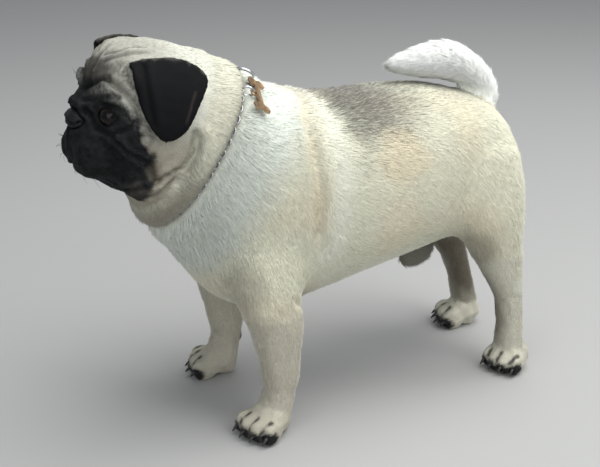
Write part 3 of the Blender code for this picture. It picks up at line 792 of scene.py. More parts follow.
def mask_depth(places, left):
    """How far inside the edge of the mask places are, in metres."""
    in_front = np.interp(left[:, 2], *np.array(MASK_SIDE).T) - left[:, 1]
    below = np.interp(left[:, 0], *np.array(MASK_TOP).T) - left[:, 2]
    fray = 0.0020 * noise(places, 0.007, 11) + 0.0013 * noise(places, 0.0022, 12)
    return np.minimum(in_front, below) + fray


def saddle_share(places, left):
    """1 where the back is ticked with black, 0 elsewhere."""
    reach = np.interp(left[:, 1], *np.array(SADDLE_EDGE).T) - left[:, 0]
    fray = 0.006 * noise(places, 0.016, 21) + 0.003 * noise(places, 0.005, 22)
    share = ramp(reach + fray, -0.024, 0.014) * ramp(left[:, 1] + fray, -0.034, 0.008)
    paler_behind = 1.0 - 0.85 * ramp(left[:, 1], 0.03, 0.12)
    return share * paler_behind * ramp(left[:, 2], 0.225, 0.275)


left = mirrored(points)
print("mask points", int((mask_depth(points, left) > 0).sum()),
      "saddle points", int((saddle_share(points, left) > 0.5).sum()))

# %% [markdown]
# The toes are black in front, with dark lines running up between them. The claws show where
# the toes are, so their solids give the places. The legs darken a little towards the ground,
# and the inner sides of the hind legs carry painted shade, darkest low down near the hocks.

# %% Dark toes
FEET = [side + end for side in ("fore_claw_", "hind_claw_") for end in ("L_", "R_")]


def middle_of(name):
    """The middle of a solid's box."""
    low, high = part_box(name)
    return (np.array(low) + np.array(high)) / 2


CLAW_PLACES = {foot: [middle_of(foot + str(i)) for i in (1, 2, 3, 4)] for foot in FEET}
TOE_LINE = np.array([(0.0, 0.000, -0.003), (0.0, 0.006, 0.006), (0.0, 0.014, 0.012)])
TOE_FRONT = np.array([0.0, 0.0045, 0.0])
TOE_OVAL = np.array([1.0, 0.8, 1.0])
TOES_TOP = 0.045


def toe_lines():
    """Lines over the skin that run up between the toes."""
    lines = []
    for claws in CLAW_PLACES.values():
        for one, other in zip(claws[:-1], claws[1:]):
            lines.append(nearest_of(points, (one + other) / 2 + TOE_LINE))
    return lines


TOE_LINES = toe_lines()


def toe_share(places):
    """1 on the dark fronts of the toes and in the lines between them."""
    share = np.zeros(len(places))
    low = np.flatnonzero(places[:, 2] < TOES_TOP)
    near_floor = places[low]
    fray = 0.0012 * noise(near_floor, 0.003, 31)
    for claws in CLAW_PLACES.values():
        for claw in claws:
            reach = np.linalg.norm((near_floor - claw - TOE_FRONT) * TOE_OVAL, axis=1)
            share[low] = np.maximum(share[low], fall(reach + fray, 0.0062, 0.0100))
    for line in TOE_LINES:
        reach, _ = line_reach(near_floor, line)
        share[low] = np.maximum(share[low], 0.85 * fall(reach + fray, 0.0008, 0.0034))
    return share


print("toe points", int((toe_share(points) > 0.5).sum()))

# %% [markdown]
# The colours are mixed like paint, from the widest marking to the smallest: first the fawn
# ground, then pale and dark regions over it, some of the dark ones painted shade and shadow,
# and last the mask, the ears and the toes.

# %% Colour of the coat at any place
CREAM = np.array([0.79, 0.79, 0.68])
NECK = np.array([0.62, 0.61, 0.50])
TAN_AND_GROOVE_SHADE = np.array([0.52, 0.41, 0.27])
FAWN = np.array([0.72, 0.71, 0.56])
APRICOT = np.array([0.74, 0.63, 0.44])
RUFF = np.array([0.70, 0.75, 0.69])
TAIL = np.array([0.91, 0.94, 0.87])
FORE_LEG = np.array([0.53, 0.50, 0.41])
HIND_LEG = np.array([0.64, 0.62, 0.51])
TICKED_AND_SHADOW_GREY = np.array([0.165, 0.158, 0.140])
MASK = np.array([0.0085, 0.0090, 0.0095])
EAR = np.array([0.0024, 0.0026, 0.0034])
BROW = np.array([0.300, 0.302, 0.275])
SHADE_BROWN = np.array([0.115, 0.095, 0.068])
FRINGE_AND_SHADE_BROWN = np.array([0.21, 0.182, 0.142])
SOOT = np.array([0.070, 0.064, 0.056])
SHEATH = np.array([0.105, 0.095, 0.082])
TOE = np.array([0.013, 0.013, 0.014])
PINK = np.array([0.20, 0.14, 0.125])

SPOTS = [
    # pixel or place on the left side, radius, colour, strength
    ((152, 157), 0.0042, MASK, 0.85),
    # painted shade on the shoulder
    ((0.074, -0.114, 0.160), 0.0240, FRINGE_AND_SHADE_BROWN, 0.36),
    ((402, 155), 0.0300, APRICOT, 0.60),
    ((0.083, 0.050, 0.187), 0.0300, APRICOT, 0.35),
    # painted shade at the front edge of the thigh
    ((0.068, 0.146, 0.150), 0.0270, SHADE_BROWN, 0.45),
    ((520, 284), 0.0090, CREAM, 0.50),
    ((100, 70), 0.0110, SOOT, 0.80),
    ((0.000, -0.216, 0.359), 0.0110, SOOT, 0.85),
    ((108, 76), 0.0080, SOOT, 0.60),
    ((0.056, -0.202, 0.256), 0.0100, SOOT, 0.55),
    ((0.060, -0.185, 0.274), 0.0080, FRINGE_AND_SHADE_BROWN, 0.50),
]
SPOT_PLACES = on_dog([row[0] for row in SPOTS])


def over(colour, other, share):
    """A colour painted over another by a share of 0 to 1."""
    return colour + (other - colour) * share[:, None]


def body_colour(places, left, part):
    """The fawn, cream, grey and brown of the trunk, neck, legs and tail, with painted shade in the tan
    groove, under the neck roll and inside the hind legs, and the tail's painted shadow on the back.
    """
    behind = fold_plane_distance(left)
    off_middle, along, height = left.T
    colour = np.broadcast_to(FAWN, (len(places), 3)).copy()
    blotch = ramp(noise(places, 0.045, 41), -0.2, 0.9)
    colour = over(colour, APRICOT, 0.45 * blotch)
    fray = 0.006 * noise(places, 0.02, 44)
    ruff = ramp(behind, -0.004, 0.006) * fall(behind + fray, 0.034, 0.070)
    colour = over(colour, RUFF, 0.85 * ruff * is_part(part, "trunk", "neck", "limb"))
    # a darker tan along the groove behind the ruff: partly tan hair, partly painted shade in the groove
    reach, _ = line_reach(left, TAN_LINE)
    fray = 0.0025 * noise(places, 0.014, 45)
    tan = bell(reach + fray, 0.0075) * ramp(height, 0.180, 0.215)
    colour = over(colour, TAN_AND_GROOVE_SHADE, 0.42 * tan)
    reach, _ = line_reach(left, STRIPE)
    stripe = bell(reach + 0.003 * noise(places, 0.012, 42), 0.0125)
    colour = over(colour, CREAM, 0.75 * stripe)
    belly = fall(height, 0.125, 0.175)
    colour = over(colour, CREAM, 0.5 * belly * is_part(part, "trunk"))
    colour = over(colour, NECK, 0.80 * is_part(part, "neck"))
    colour = over(colour, TAIL, 1.0 * is_part(part, "tail"))
    leg = is_part(part, "shin", "paw") + is_part(part, "limb") * fall(height, 0.10, 0.165)
    leg_colour = np.where(along[:, None] < 0.05, FORE_LEG, HIND_LEG)
    colour = over(colour, leg_colour, 0.9 * np.clip(leg, 0.0, 1.0))
    # painted shade on the inner sides of the hind legs, and lower down inside the shanks
    hind = is_part(part, "limb", "shin") * ramp(along, 0.05, 0.10)
    inner = fall(off_middle, 0.046, 0.080) * fall(height, 0.110, 0.158)
    colour = over(colour, SHADE_BROWN, 0.92 * hind * inner)
    shank = fall(height, 0.05, 0.12) * fall(off_middle, 0.052, 0.076)
    colour = over(colour, SHADE_BROWN, 0.35 * hind * shank)
    fray = 0.004 * noise(places, 0.008, 43)
    foot = is_part(part, "shin", "paw") * fall(height + fray, 0.028, 0.062)
    colour = over(colour, leg_colour * 0.90, 0.6 * foot)
    colour = over(colour, SHEATH, 0.85 * is_part(part, "sheath"))
    # painted shade under the roll of the neck
    painted_neck_roll_shade = bell(behind + 0.014, 0.010) * fall(height, 0.245, 0.290)
    colour = over(colour, FRINGE_AND_SHADE_BROWN, 0.70 * painted_neck_roll_shade * is_part(part, "neck"))
    spine = bell(off_middle, 0.030) * bell(along + 0.012, 0.022) * ramp(height, 0.28, 0.30)
    # painted shadow that the tail throws on the back, in the ticked grey
    painted_tail_shadow = bell(off_middle, 0.024) * bell(along - 0.135, 0.040) * ramp(height, 0.26, 0.28)
    ticks_and_tail_shadow = np.maximum(0.75 * spine, 0.98 * painted_tail_shadow)
    ticks_and_tail_shadow = np.maximum(0.92 * saddle_share(places, left), ticks_and_tail_shadow)
    return over(colour, TICKED_AND_SHADOW_GREY, 0.80 * ticks_and_tail_shadow * (1.0 - 0.6 * stripe) * is_part(part, "trunk"))


def head_colour(places, left):
    """The cream head with its grey brows and black mask, and a dark fawn cheek that is partly painted
    shade.
    """
    front = fall(left[:, 1], -0.175, -0.135)
    colour = over(np.broadcast_to(CREAM * 0.92, (len(places), 3)), TICKED_AND_SHADOW_GREY, 0.42 * front)
    # the cheek below the brow is a darker fawn: partly its own colour, partly painted shade where it
    # faces down
    cheek = fall(left[:, 2], 0.285, 0.325)
    colour = over(colour, FAWN * [0.49, 0.46, 0.46], 0.85 * cheek)
    depth = mask_depth(places, left)
    soft = ramp(depth, -0.018, 0.002) * ramp(left[:, 2], 0.335, 0.350)
    colour = over(colour, SOOT, 0.75 * soft)
    fringe = ramp(depth, -0.009, 0.001) * fall(left[:, 2], 0.290, 0.310)
    colour = over(colour, FRINGE_AND_SHADE_BROWN, 0.75 * fringe)
    speckle = ramp(noise(places, 0.0016, 52), -0.5, 0.5)
    reach, _ = line_reach(left, SPECKLED)
    colour = over(colour, TICKED_AND_SHADOW_GREY, bell(reach, 0.0105) * (0.35 + 0.60 * speckle))
    reach, _ = line_reach(left, PALE_BROW)
    brow = bell(reach, 0.0058) * (0.35 + 0.65 * speckle)
    brow = brow * (0.3 + 0.7 * ramp(left[:, 0], 0.018, 0.034))
    dark = ramp(depth, -0.0022, 0.0026)
    ridge = np.zeros(len(places))
    for name in ("beside_nose", "below_pouch", "mouth", "upper_lid", "inner_brow"):
        reach, _ = line_reach(left, FOLD_LINES[name])
        ridge = np.maximum(ridge, bell(reach - 0.0050, 0.0022))
    mottle = 1.0 + 0.7 * noise(places, 0.0028, 54) + 1.5 * ridge * (0.4 + 0.6 * speckle)
    mask = over(MASK * mottle[:, None], BROW, np.clip(brow, 0.0, 1.0))
    return over(colour, mask, dark)


def fold_light(places):
    """How much light is left at each place: little at the bottom of the folds."""
    left = mirrored(places)
    behind = fold_plane_distance(left)
    dark = 0.55 + 0.27 * ramp(left[:, 2], 0.24, 0.28)
    share = dark * bell(behind + 0.0005, 0.0038) * (left[:, 2] > 0.20)
    face = np.flatnonzero((left[:, 1] < -0.135) & (left[:, 2] > 0.235))
    for name, row in FOLDS.items():
        reach, _ = line_reach(left[face], FOLD_LINES[name])
        share[face] = np.maximum(share[face], 0.82 * bell(reach, 0.95 * row[2]))
    return 1.0 - share


def coat_colours(places, part):
    """The colour of the coat at places on the skin, as linear red, green and blue."""
    left = mirrored(places)
    colour = body_colour(places, left, part)
    colour = np.where(is_part(part, "head")[:, None], head_colour(places, left), colour)
    for place, (_, radius, paint, strength) in zip(SPOT_PLACES, SPOTS):
        reach = np.linalg.norm(left - place, axis=1)
        fray = 0.25 * radius * noise(places, 0.6 * radius, 61)
        outside = ramp(reach + fray, 0.6 * radius, 1.3 * radius)
        colour = over(colour, paint, strength * (1.0 - outside))
    colour = over(colour, TOE, toe_share(places))
    for pad in CARPAL_PADS:
        reach = np.linalg.norm(places - pad, axis=1)
        colour = over(colour, TOE, 0.95 * fall(reach, 0.0030, 0.0062))
    return np.where(is_part(part, "ear")[:, None], ear_colour(places, left), colour)


def ear_colour(places, left):
    """The black of the ears, which frays into the cream along the fold, with a bare crease."""
    reach, _ = line_reach(left, EAR_CREASE)
    ear = over(np.broadcast_to(EAR, (len(places), 3)), PINK, 0.15 * bell(reach, 0.0011))
    for line in EAR_RIMS:
        reach, _ = line_reach(places, line)
        edge = fall(reach + 0.0022 * noise(places, 0.004, 53), 0.0022, 0.0070)
        ear = over(ear, TICKED_AND_SHADOW_GREY, 0.55 * edge)
    return ear


skin_colour = coat_colours(points, part)
print("mean colour of the skin", skin_colour.mean(axis=0).round(3))

# %% [markdown]
# ## Skin and hair finish
# Short hair never has one even colour. A node group used by the skin and the hair takes the
# colour stored at each point and breaks it up with fine noise, and also gives a height for a
# bump. The shader itself stays in each material, with a soft sheen like dry hair.


# %% Grain of the coat, a node group
def new_group(name, inputs, outputs):
    """An empty node group with named sockets, and its two end nodes."""
    group = bpy.data.node_groups.new(name, "ShaderNodeTree")
    for label, kind, value in inputs:
        socket = group.interface.new_socket(label, in_out="INPUT", socket_type=kind)
        if value is not None:
            socket.default_value = value
    for label, kind in outputs:
        group.interface.new_socket(label, in_out="OUTPUT", socket_type=kind)
    return group, group.nodes.new("NodeGroupInput"), group.nodes.new("NodeGroupOutput")


def make_grain():
    """Colour broken up by noise on Object coordinates, and the noise as a height."""
    group, entry, result = new_group(
        "coat_grain",
        [("Colour", "NodeSocketColor", None), ("Size", "NodeSocketFloat", 900.0),
         ("Amount", "NodeSocketFloat", 0.2)],
        [("Colour", "NodeSocketColor"), ("Height", "NodeSocketFloat")])
    link = group.links.new
    place = new_node(group, "ShaderNodeTexCoord")
    fine = new_node(group, "ShaderNodeTexNoise", {"Detail": 3.0})
    link(place.outputs["Object"], fine.inputs["Vector"])
    link(entry.outputs["Size"], fine.inputs["Scale"])
    spread = new_node(group, "ShaderNodeMapRange", {"From Min": 0.25, "From Max": 0.75})
    link(fine.outputs["Fac"], spread.inputs["Value"])
    for operation, end in (("SUBTRACT", "To Min"), ("ADD", "To Max")):
        limit = new_node(group, "ShaderNodeMath", {0: 1.0}, operation=operation)
        link(entry.outputs["Amount"], limit.inputs[1])
        link(limit.outputs[0], spread.inputs[end])
    tint = new_node(group, "ShaderNodeVectorMath", operation="SCALE")
    link(entry.outputs["Colour"], tint.inputs[0])
    link(spread.outputs["Result"], tint.inputs["Scale"])
    link(tint.outputs["Vector"], result.inputs["Colour"])
    link(fine.outputs["Fac"], result.inputs["Height"])
    return group


def add_grain(tree, size, amount):
    """The grain in a material's tree, feeding the base colour."""
    broken = new_node(tree, "ShaderNodeGroup", {"Size": size, "Amount": amount}, node_tree=grain)
    tree.links.new(broken.outputs["Colour"], tree.nodes["Principled BSDF"].inputs["Base Color"])
    return broken


grain = make_grain()
print("group", grain.name, "nodes", len(grain.nodes))

# %% [markdown]
# The materials differ in grain, bump and gloss. Under the hair the skin is shaded by it, so it
# takes the same markings a little darker. Sheen lightens the rim of the body, as the fine
# tips of a coat do against the light, but it would turn the black mask grey, so there is none.

# %% Materials of skin and hair
COAT_COLOUR = "coat_colour"


def coat_material(name, size, amount, bump_height, roughness, sheen, gloss):
    """A Principled material that paints the colour stored on the mesh."""
    made = plain_material(name, (0.5, 0.5, 0.5), roughness, {
        "Sheen Weight": sheen, "Sheen Roughness": 0.45, "Specular IOR Level": gloss})
    tree = made.node_tree
    stored = new_node(tree, "ShaderNodeAttribute", attribute_name=COAT_COLOUR)
    broken = add_grain(tree, size, amount)
    tree.links.new(stored.outputs["Color"], broken.inputs["Colour"])
    bump = new_node(tree, "ShaderNodeBump", {"Strength": 0.5, "Distance": bump_height})
    tree.links.new(broken.outputs["Height"], bump.inputs["Height"])
    tree.links.new(bump.outputs["Normal"], tree.nodes["Principled BSDF"].inputs["Normal"])
    return made


def store_colours(mesh, colours):
    """Keep a colour for each point of a mesh."""
    stored = mesh.color_attributes.new(COAT_COLOUR, "FLOAT_COLOR", "POINT")
    with_alpha = np.ones((len(colours), 4), np.float32)
    with_alpha[:, :3] = colours
    stored.data.foreach_set("color", with_alpha.ravel())


UNDER_HAIR = 0.80
under_coat = coat_material("skin under the coat", 1100.0, 0.25, 0.0006, 0.75, 0.0, 0.12)
hair_finish = coat_material("hair of the coat", 700.0, 0.10, 0.0002, 0.55, 0.20, 0.25)
velvet_finish = coat_material(
    "short hair of the face and ears", 900.0, 0.15, 0.0002, 0.60, 0.0, 0.14)
VELVET_PIECES = ("coat_head", "coat_ears")
skin.data.materials.clear()
skin.data.materials.append(under_coat)
store_colours(skin.data, skin_colour * UNDER_HAIR * fold_light(points)[:, None])
print("skin painted", len(skin_colour))

# %% [markdown]
# ## Eyes
# The eyeball is a ball of 25 mm under a wet, clear front. Its rings run round the direction of
# gaze, so the angle from the pupil can be stored at each point, and a colour ramp on that
# angle paints pupil, iris, dark rim and the brown behind it.

# %% Eyeballs
EYE_RINGS = 40
EYE_SPOKES = 48
FROM_PUPIL = "from_pupil"
CORNEA_ANGLE = math.radians(33.0)
CORNEA_RISE = 0.0004
RIGHT_SIDE = np.array([-1.0, 1.0, 1.0])


def mesh_from(name, places, faces):
    """A mesh from points and faces, with faces turned outwards."""
    mesh = bpy.data.meshes.new(name)
    mesh.from_pydata([tuple(place) for place in places], [], faces)
    bm = bmesh.new()
    bm.from_mesh(mesh)
    bmesh.ops.recalc_face_normals(bm, faces=bm.faces)
    bm.to_mesh(mesh)
    bm.free()
    mesh.shade_smooth()
    return mesh


def ring_faces(rings, spokes, closed_ends):
    """Faces between rings of points, and round each end where the last point is the tip."""
    faces = []
    for ring in range(rings - 1):
        for spoke in range(spokes):
            after = (spoke + 1) % spokes
            a, b = ring * spokes, (ring + 1) * spokes
            faces.append((a + spoke, a + after, b + after, b + spoke))
    if closed_ends:
        first, last = rings * spokes, rings * spokes + 1
        for spoke in range(spokes):
            after = (spoke + 1) % spokes
            base = (rings - 1) * spokes
            faces.append((spoke, first, after))
            faces.append((base + spoke, base + after, last))
    return faces


def eyeball(name, mirror):
    """A ball whose rings run round the direction of gaze."""
    tilt = np.linspace(0.0, math.pi, EYE_RINGS + 2)
    turn = np.linspace(0.0, 2.0 * math.pi, EYE_SPOKES, endpoint=False)
    angle = np.concatenate([np.repeat(tilt[1:-1], EYE_SPOKES), [0.0, math.pi]])
    spin = np.concatenate([np.tile(turn, EYE_RINGS), [0.0, 0.0]])
    sideways = np.outer(np.sin(angle) * np.cos(spin), EYE_ACROSS)
    upwards = np.outer(np.sin(angle) * np.sin(spin), EYE_UP)
    ways = np.outer(np.cos(angle), GAZE) + sideways + upwards
    radius = EYE_RADIUS + CORNEA_RISE * fall(angle, 0.5 * CORNEA_ANGLE, CORNEA_ANGLE)
    places = (EYE_CENTRE + ways * radius[:, None]) * mirror
    mesh = mesh_from(name, places, ring_faces(EYE_RINGS, EYE_SPOKES, True))
    stored = mesh.attributes.new(FROM_PUPIL, "FLOAT", "POINT")
    stored.data.foreach_set("value", angle.astype(np.float32))
    return add_object(name, mesh)


EYE_STOPS = [
    # share of a right angle from the pupil, colour
    (0.0, (0.001, 0.001, 0.001)), (0.18, (0.001, 0.001, 0.001)), (0.21, (0.004, 0.002, 0.001)),
    (0.34, (0.006, 0.003, 0.002)), (0.40, (0.001, 0.001, 0.001)), (0.46, (0.003, 0.002, 0.002)),
    (0.62, (0.008, 0.006, 0.005)),
]


def eye_material():
    """Dark wet eye, painted by the angle from the pupil."""
    made = plain_material("wet eye", (0.02, 0.01, 0.006), 0.06, {
        "Specular IOR Level": 0.20, "Coat Weight": 0.05, "Coat Roughness": 0.03})
    tree = made.node_tree
    stored = new_node(tree, "ShaderNodeAttribute", attribute_name=FROM_PUPIL)
    share = new_node(tree, "ShaderNodeMath", {1: math.pi / 2}, operation="DIVIDE")
    tree.links.new(stored.outputs["Fac"], share.inputs[0])
    rings = new_node(tree, "ShaderNodeValToRGB")
    while len(rings.color_ramp.elements) < len(EYE_STOPS):
        rings.color_ramp.elements.new(0.5)
    for element, (place, colour) in zip(rings.color_ramp.elements, EYE_STOPS):
        element.position = place
        element.color = (*colour, 1.0)
    tree.links.new(share.outputs[0], rings.inputs["Fac"])
    fibres = add_grain(tree, 1400.0, 0.35)
    tree.links.new(rings.outputs["Color"], fibres.inputs["Colour"])
    return made


wet_eye = eye_material()
for side, mirror in (("L", np.ones(3)), ("R", RIGHT_SIDE)):
    ball = eyeball("eyeball_" + side, mirror)
    ball.data.materials.append(wet_eye)
    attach(ball, "root")
    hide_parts("eye_" + side)
print("eyeballs of", round(EYE_RADIUS * 2000, 1), "mm")

# %% [markdown]
# Each eye is framed by a bare, black, moist edge of the lid. It is a thin tube that follows
# the almond. A tube helper carries a ring of points along a path and is used again below.


# %% Edges of the lids
TIP_SHARE = 0.6


def tube(path, radii, spokes, closed):
    """Points and faces of a round tube along a path, with tapered or joined ends."""
    path = np.array(path)
    radii = np.broadcast_to(radii, len(path))
    ahead = np.roll(path, -1, axis=0) - np.roll(path, 1, axis=0)
    if not closed:
        ahead[0], ahead[-1] = path[1] - path[0], path[-1] - path[-2]
    ahead = unit(ahead)
    side = unit(np.cross(ahead[0], [0.30, 0.42, 0.86]))
    rings = []
    for place, way, radius in zip(path, ahead, radii):
        side = unit(side - way * (side @ way))
        other = np.cross(way, side)
        turn = np.linspace(0.0, 2.0 * math.pi, spokes, endpoint=False)
        round_way = np.outer(np.cos(turn), side) + np.outer(np.sin(turn), other)
        rings.append(place + radius * round_way)
    places = np.concatenate(rings)
    if closed:
        faces = ring_faces(len(path), spokes, False)
        base = (len(path) - 1) * spokes
        gaps = np.linalg.norm(rings[0] - rings[-1][0], axis=1)
        offset = int(gaps.argmin())
        for spoke in range(spokes):
            one, two = (spoke + offset) % spokes, (spoke + 1 + offset) % spokes
            faces.append((base + spoke, base + (spoke + 1) % spokes, two, one))
        return places, faces
    first_tip = path[0] - ahead[0] * radii[0] * TIP_SHARE
    last_tip = path[-1] + ahead[-1] * radii[-1] * TIP_SHARE
    places = np.concatenate([places, [first_tip, last_tip]])
    return places, ring_faces(len(path), spokes, True)


def grained(name, colour, roughness, size, amount, gloss=0.5):
    """A Principled material of one colour, broken up by the grain."""
    made = plain_material(name, colour, roughness, {"Specular IOR Level": gloss})
    broken = add_grain(made.node_tree, size, amount)
    broken.inputs["Colour"].default_value = (*colour, 1.0)
    return made


LID_EDGE_POINTS = 72
LID_EDGE_RADIUS = 0.00085


def almond_path(mirror):
    """Points along the edge of the lids, just above the eyeball."""
    turn = np.linspace(0.0, 2.0 * math.pi, LID_EDGE_POINTS, endpoint=False)
    across = LID_ANGLES[0] * np.cos(turn)
    up = lid_angle(across, np.sin(turn) > 0) * np.sin(turn)
    ways = GAZE + np.outer(np.tan(across), EYE_ACROSS) + np.outer(np.tan(up), EYE_UP)
    return (EYE_CENTRE + unit(ways) * (EYE_RADIUS + 0.0005)) * mirror


moist = grained("moist black skin", (0.005, 0.004, 0.004), 0.50, 1300.0, 0.4, 0.12)
for side, mirror in (("L", np.ones(3)), ("R", RIGHT_SIDE)):
    edge = add_object("lid_edge_" + side, mesh_from(
        "lid_edge", *tube(almond_path(mirror), LID_EDGE_RADIUS, 10, True)))
    edge.data.materials.append(moist)
    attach(edge, "root")
print("lid edges of", LID_EDGE_POINTS, "points")

# %% [markdown]
# ## Nose leather
# The nose is bare, black and pebbled, broad and flat in front, with comma-shaped nostrils
# that curl out to the side and a groove down the middle. It starts as a ball whose points
# are pushed in along those lines, so the openings are real shape and not only paint.

# %% Nose with nostrils
NOSE_RINGS = 84
NOSE_SPOKES = 132
NOSTRIL = [
    (0.0044, -0.2430, 0.3150), (0.0066, -0.2428, 0.3128), (0.0098, -0.2400, 0.3118),
    (0.0126, -0.2352, 0.3130),
]
NOSE_GROOVE = [(0.0, -0.2445, 0.3150), (0.0, -0.2440, 0.3090), (0.0, -0.2400, 0.3050)]


def nose_mesh():
    """The bare nose as a ball with flattened front, nostrils and groove."""
    tilt = np.repeat(np.linspace(0.0, math.pi, NOSE_RINGS + 2)[1:-1], NOSE_SPOKES)
    turn = np.tile(np.linspace(0.0, 2.0 * math.pi, NOSE_SPOKES, endpoint=False), NOSE_RINGS)
    ways = [np.sin(tilt) * np.cos(turn), -np.cos(tilt), np.sin(tilt) * np.sin(turn)]
    ways = np.stack(ways, axis=1)
    ways = np.concatenate([ways, [[0.0, -1.0, 0.0], [0.0, 1.0, 0.0]]])
    boxy = np.sign(ways) * np.abs(ways) ** 0.86
    places = NOSE_MIDDLE + boxy * NOSE_REACH
    places[:, 0] *= 1.0 - 0.16 * ramp(NOSE_MIDDLE[2] - places[:, 2], 0.0, NOSE_REACH[2])
    left = mirrored(places)
    reach, _ = line_reach(left, NOSTRIL)
    along = np.clip((left[:, 0] - NOSTRIL[0][0]) / (NOSTRIL[-1][0] - NOSTRIL[0][0]), 0.0, 1.0)
    sink = (0.0046 - 0.0024 * along) * bell(reach, 0.0019 - 0.0008 * along)
    wing = 0.0008 * bell(reach - 0.0034, 0.0014)
    groove, _ = line_reach(left, NOSE_GROOVE)
    pebble = 0.00010 * noise(places, 0.0011, 71)
    inward = unit((NOSE_MIDDLE - places) * [0.35, 1.0, 0.6])
    places = places + inward * (sink - wing + 0.0012 * bell(groove, 0.0008) - pebble)[:, None]
    return mesh_from("nose_leather", places, ring_faces(NOSE_RINGS, NOSE_SPOKES, True))


def leather_material():
    """Moist black leather with a pebbled bump."""
    made = plain_material("nose leather", (0.005, 0.005, 0.006), 0.45, {"Specular IOR Level": 0.24})
    tree = made.node_tree
    shader = tree.nodes["Principled BSDF"]
    place = new_node(tree, "ShaderNodeTexCoord")
    cells = new_node(tree, "ShaderNodeTexVoronoi", {"Scale": 1050.0})
    tree.links.new(place.outputs["Object"], cells.inputs["Vector"])
    bump = new_node(tree, "ShaderNodeBump", {"Strength": 0.6, "Distance": 0.0003}, invert=True)
    tree.links.new(cells.outputs["Distance"], bump.inputs["Height"])
    tree.links.new(bump.outputs["Normal"], shader.inputs["Normal"])
    shade = new_node(tree, "ShaderNodeMapRange", {"From Max": 0.7, "To Min": 0.30, "To Max": 0.55})
    tree.links.new(cells.outputs["Distance"], shade.inputs["Value"])
    tree.links.new(shade.outputs["Result"], shader.inputs["Roughness"])
    return made


leather = add_object("nose_leather", nose_mesh())
leather.data.materials.append(leather_material())
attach(leather, "root")
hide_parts("nose")
print("nose faces", len(leather.data.polygons))

# %% [markdown]
# ## Claws
# A claw is a curved, tapering horn. Each solid claw gives the direction by its longest axis,
# and a tube that narrows to the tip and arches slightly upwards takes its place.

# %% Claws
CLAW_STEPS = 9
CLAW_SIDES = 14
CLAW_THICK = 0.0024
CLAW_ARCH = 0.0011


def solid_axes(node):
    """The corners of a solid from its middle, its middle, and its axes with the longest first."""
    corners = read(nodes[node].data.vertices, "co", 3).astype(np.float64)
    middle = corners.mean(axis=0)
    return corners - middle, middle, np.linalg.svd(corners - middle, full_matrices=False)[2]


def claw_path(node):
    """Points from the root of a claw to its tip, along the longest axis of its solid."""
    corners, middle, (axis, _, _) = solid_axes(node)
    axis = axis * -np.sign(axis[1])
    along = corners @ axis
    share = np.linspace(0.0, 1.0, CLAW_STEPS)[:, None]
    path = middle + axis * (along.min() + share * (along.max() - along.min()))
    return path + [0.0, 0.0, CLAW_ARCH] * np.sin(share * math.pi)


horn = grained("black horn", (0.018, 0.015, 0.013), 0.34, 1500.0, 0.5)
for foot in FEET:
    for number in (1, 2, 3, 4):
        name = foot + str(number)
        radii = CLAW_THICK * (1.0 - 0.78 * np.linspace(0.0, 1.0, CLAW_STEPS) ** 1.4)
        mesh = mesh_from(name, *tube(claw_path(name), radii, CLAW_SIDES, False))
        claw = add_object(name.replace("claw", "horn"), mesh)
        claw.data.materials.append(horn)
        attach(claw, "root")
        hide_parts(name)
print("claws", 4 * len(FEET))

# %% [markdown]
# ## Lie of the coat
# Hair doesn't stand straight out: it lies along the body, from the nose back over the head,
# along the back, and down the sides and the legs. A few guides give that direction at places
# where it is known. Every point of the skin takes a mix of the nearest guides, pressed into
# the surface and then smoothed, so the coat flows without a jump.

# %% Direction of the hair
BODY_GUIDES = [
    # place on the left side, direction in which the hair lies
    ((0.000, -0.238, 0.330), (0.0, 0.3, 1.0)), ((0.000, -0.215, 0.355), (0.0, 0.5, 0.85)),
    ((0.000, -0.170, 0.379), (0.0, 1.0, 0.0)), ((0.000, -0.120, 0.360), (0.0, 0.95, -0.3)),
    ((0.000, -0.060, 0.322), (0.0, 1.0, -0.1)), ((0.000, 0.020, 0.313), (0.0, 1.0, 0.0)),
    ((0.000, 0.150, 0.300), (0.0, 1.0, -0.2)), ((0.000, 0.215, 0.250), (0.0, 0.35, -0.94)),
    ((0.050, 0.210, 0.200), (0.0, 0.2, -1.0)), ((0.060, -0.050, 0.270), (0.1, 0.85, -0.55)),
    ((0.085, 0.050, 0.230), (0.0, 0.9, -0.4)), ((0.070, 0.060, 0.160), (0.0, 0.95, -0.2)),
    ((0.000, 0.050, 0.142), (0.0, 1.0, 0.0)), ((0.085, -0.060, 0.200), (0.0, 0.45, -0.9)),
    ((0.085, -0.075, 0.150), (0.0, 0.25, -1.0)), ((0.000, -0.170, 0.200), (0.0, 0.1, -1.0)),
    ((0.000, -0.180, 0.225), (0.0, 0.3, -1.0)), ((0.065, -0.130, 0.280), (0.1, 0.6, -0.8)),
    ((0.062, -0.180, 0.290), (0.1, 0.9, -0.45)), ((0.055, -0.170, 0.345), (0.2, 0.9, 0.1)),
    ((0.040, -0.225, 0.280), (0.5, 0.6, -0.6)), ((0.015, -0.244, 0.285), (0.4, 0.1, -0.9)),
    ((0.000, -0.235, 0.262), (0.0, 0.3, -0.95)), ((0.000, -0.200, 0.250), (0.0, 1.0, -0.2)),
    ((0.031, -0.220, 0.345), (0.3, 0.4, 0.85)), ((0.050, -0.210, 0.305), (0.5, 0.8, -0.3)),
    ((0.070, -0.075, 0.100), (0.0, 0.0, -1.0)), ((0.071, -0.073, 0.050), (0.0, 0.0, -1.0)),
    ((0.075, -0.095, 0.020), (0.32, -0.9, -0.3)), ((0.080, 0.150, 0.200), (0.0, 0.45, -0.9)),
    ((0.062, 0.190, 0.100), (0.0, 0.15, -1.0)), ((0.062, 0.200, 0.050), (0.0, 0.0, -1.0)),
    ((0.064, 0.195, 0.020), (0.3, -0.9, -0.3)),
]
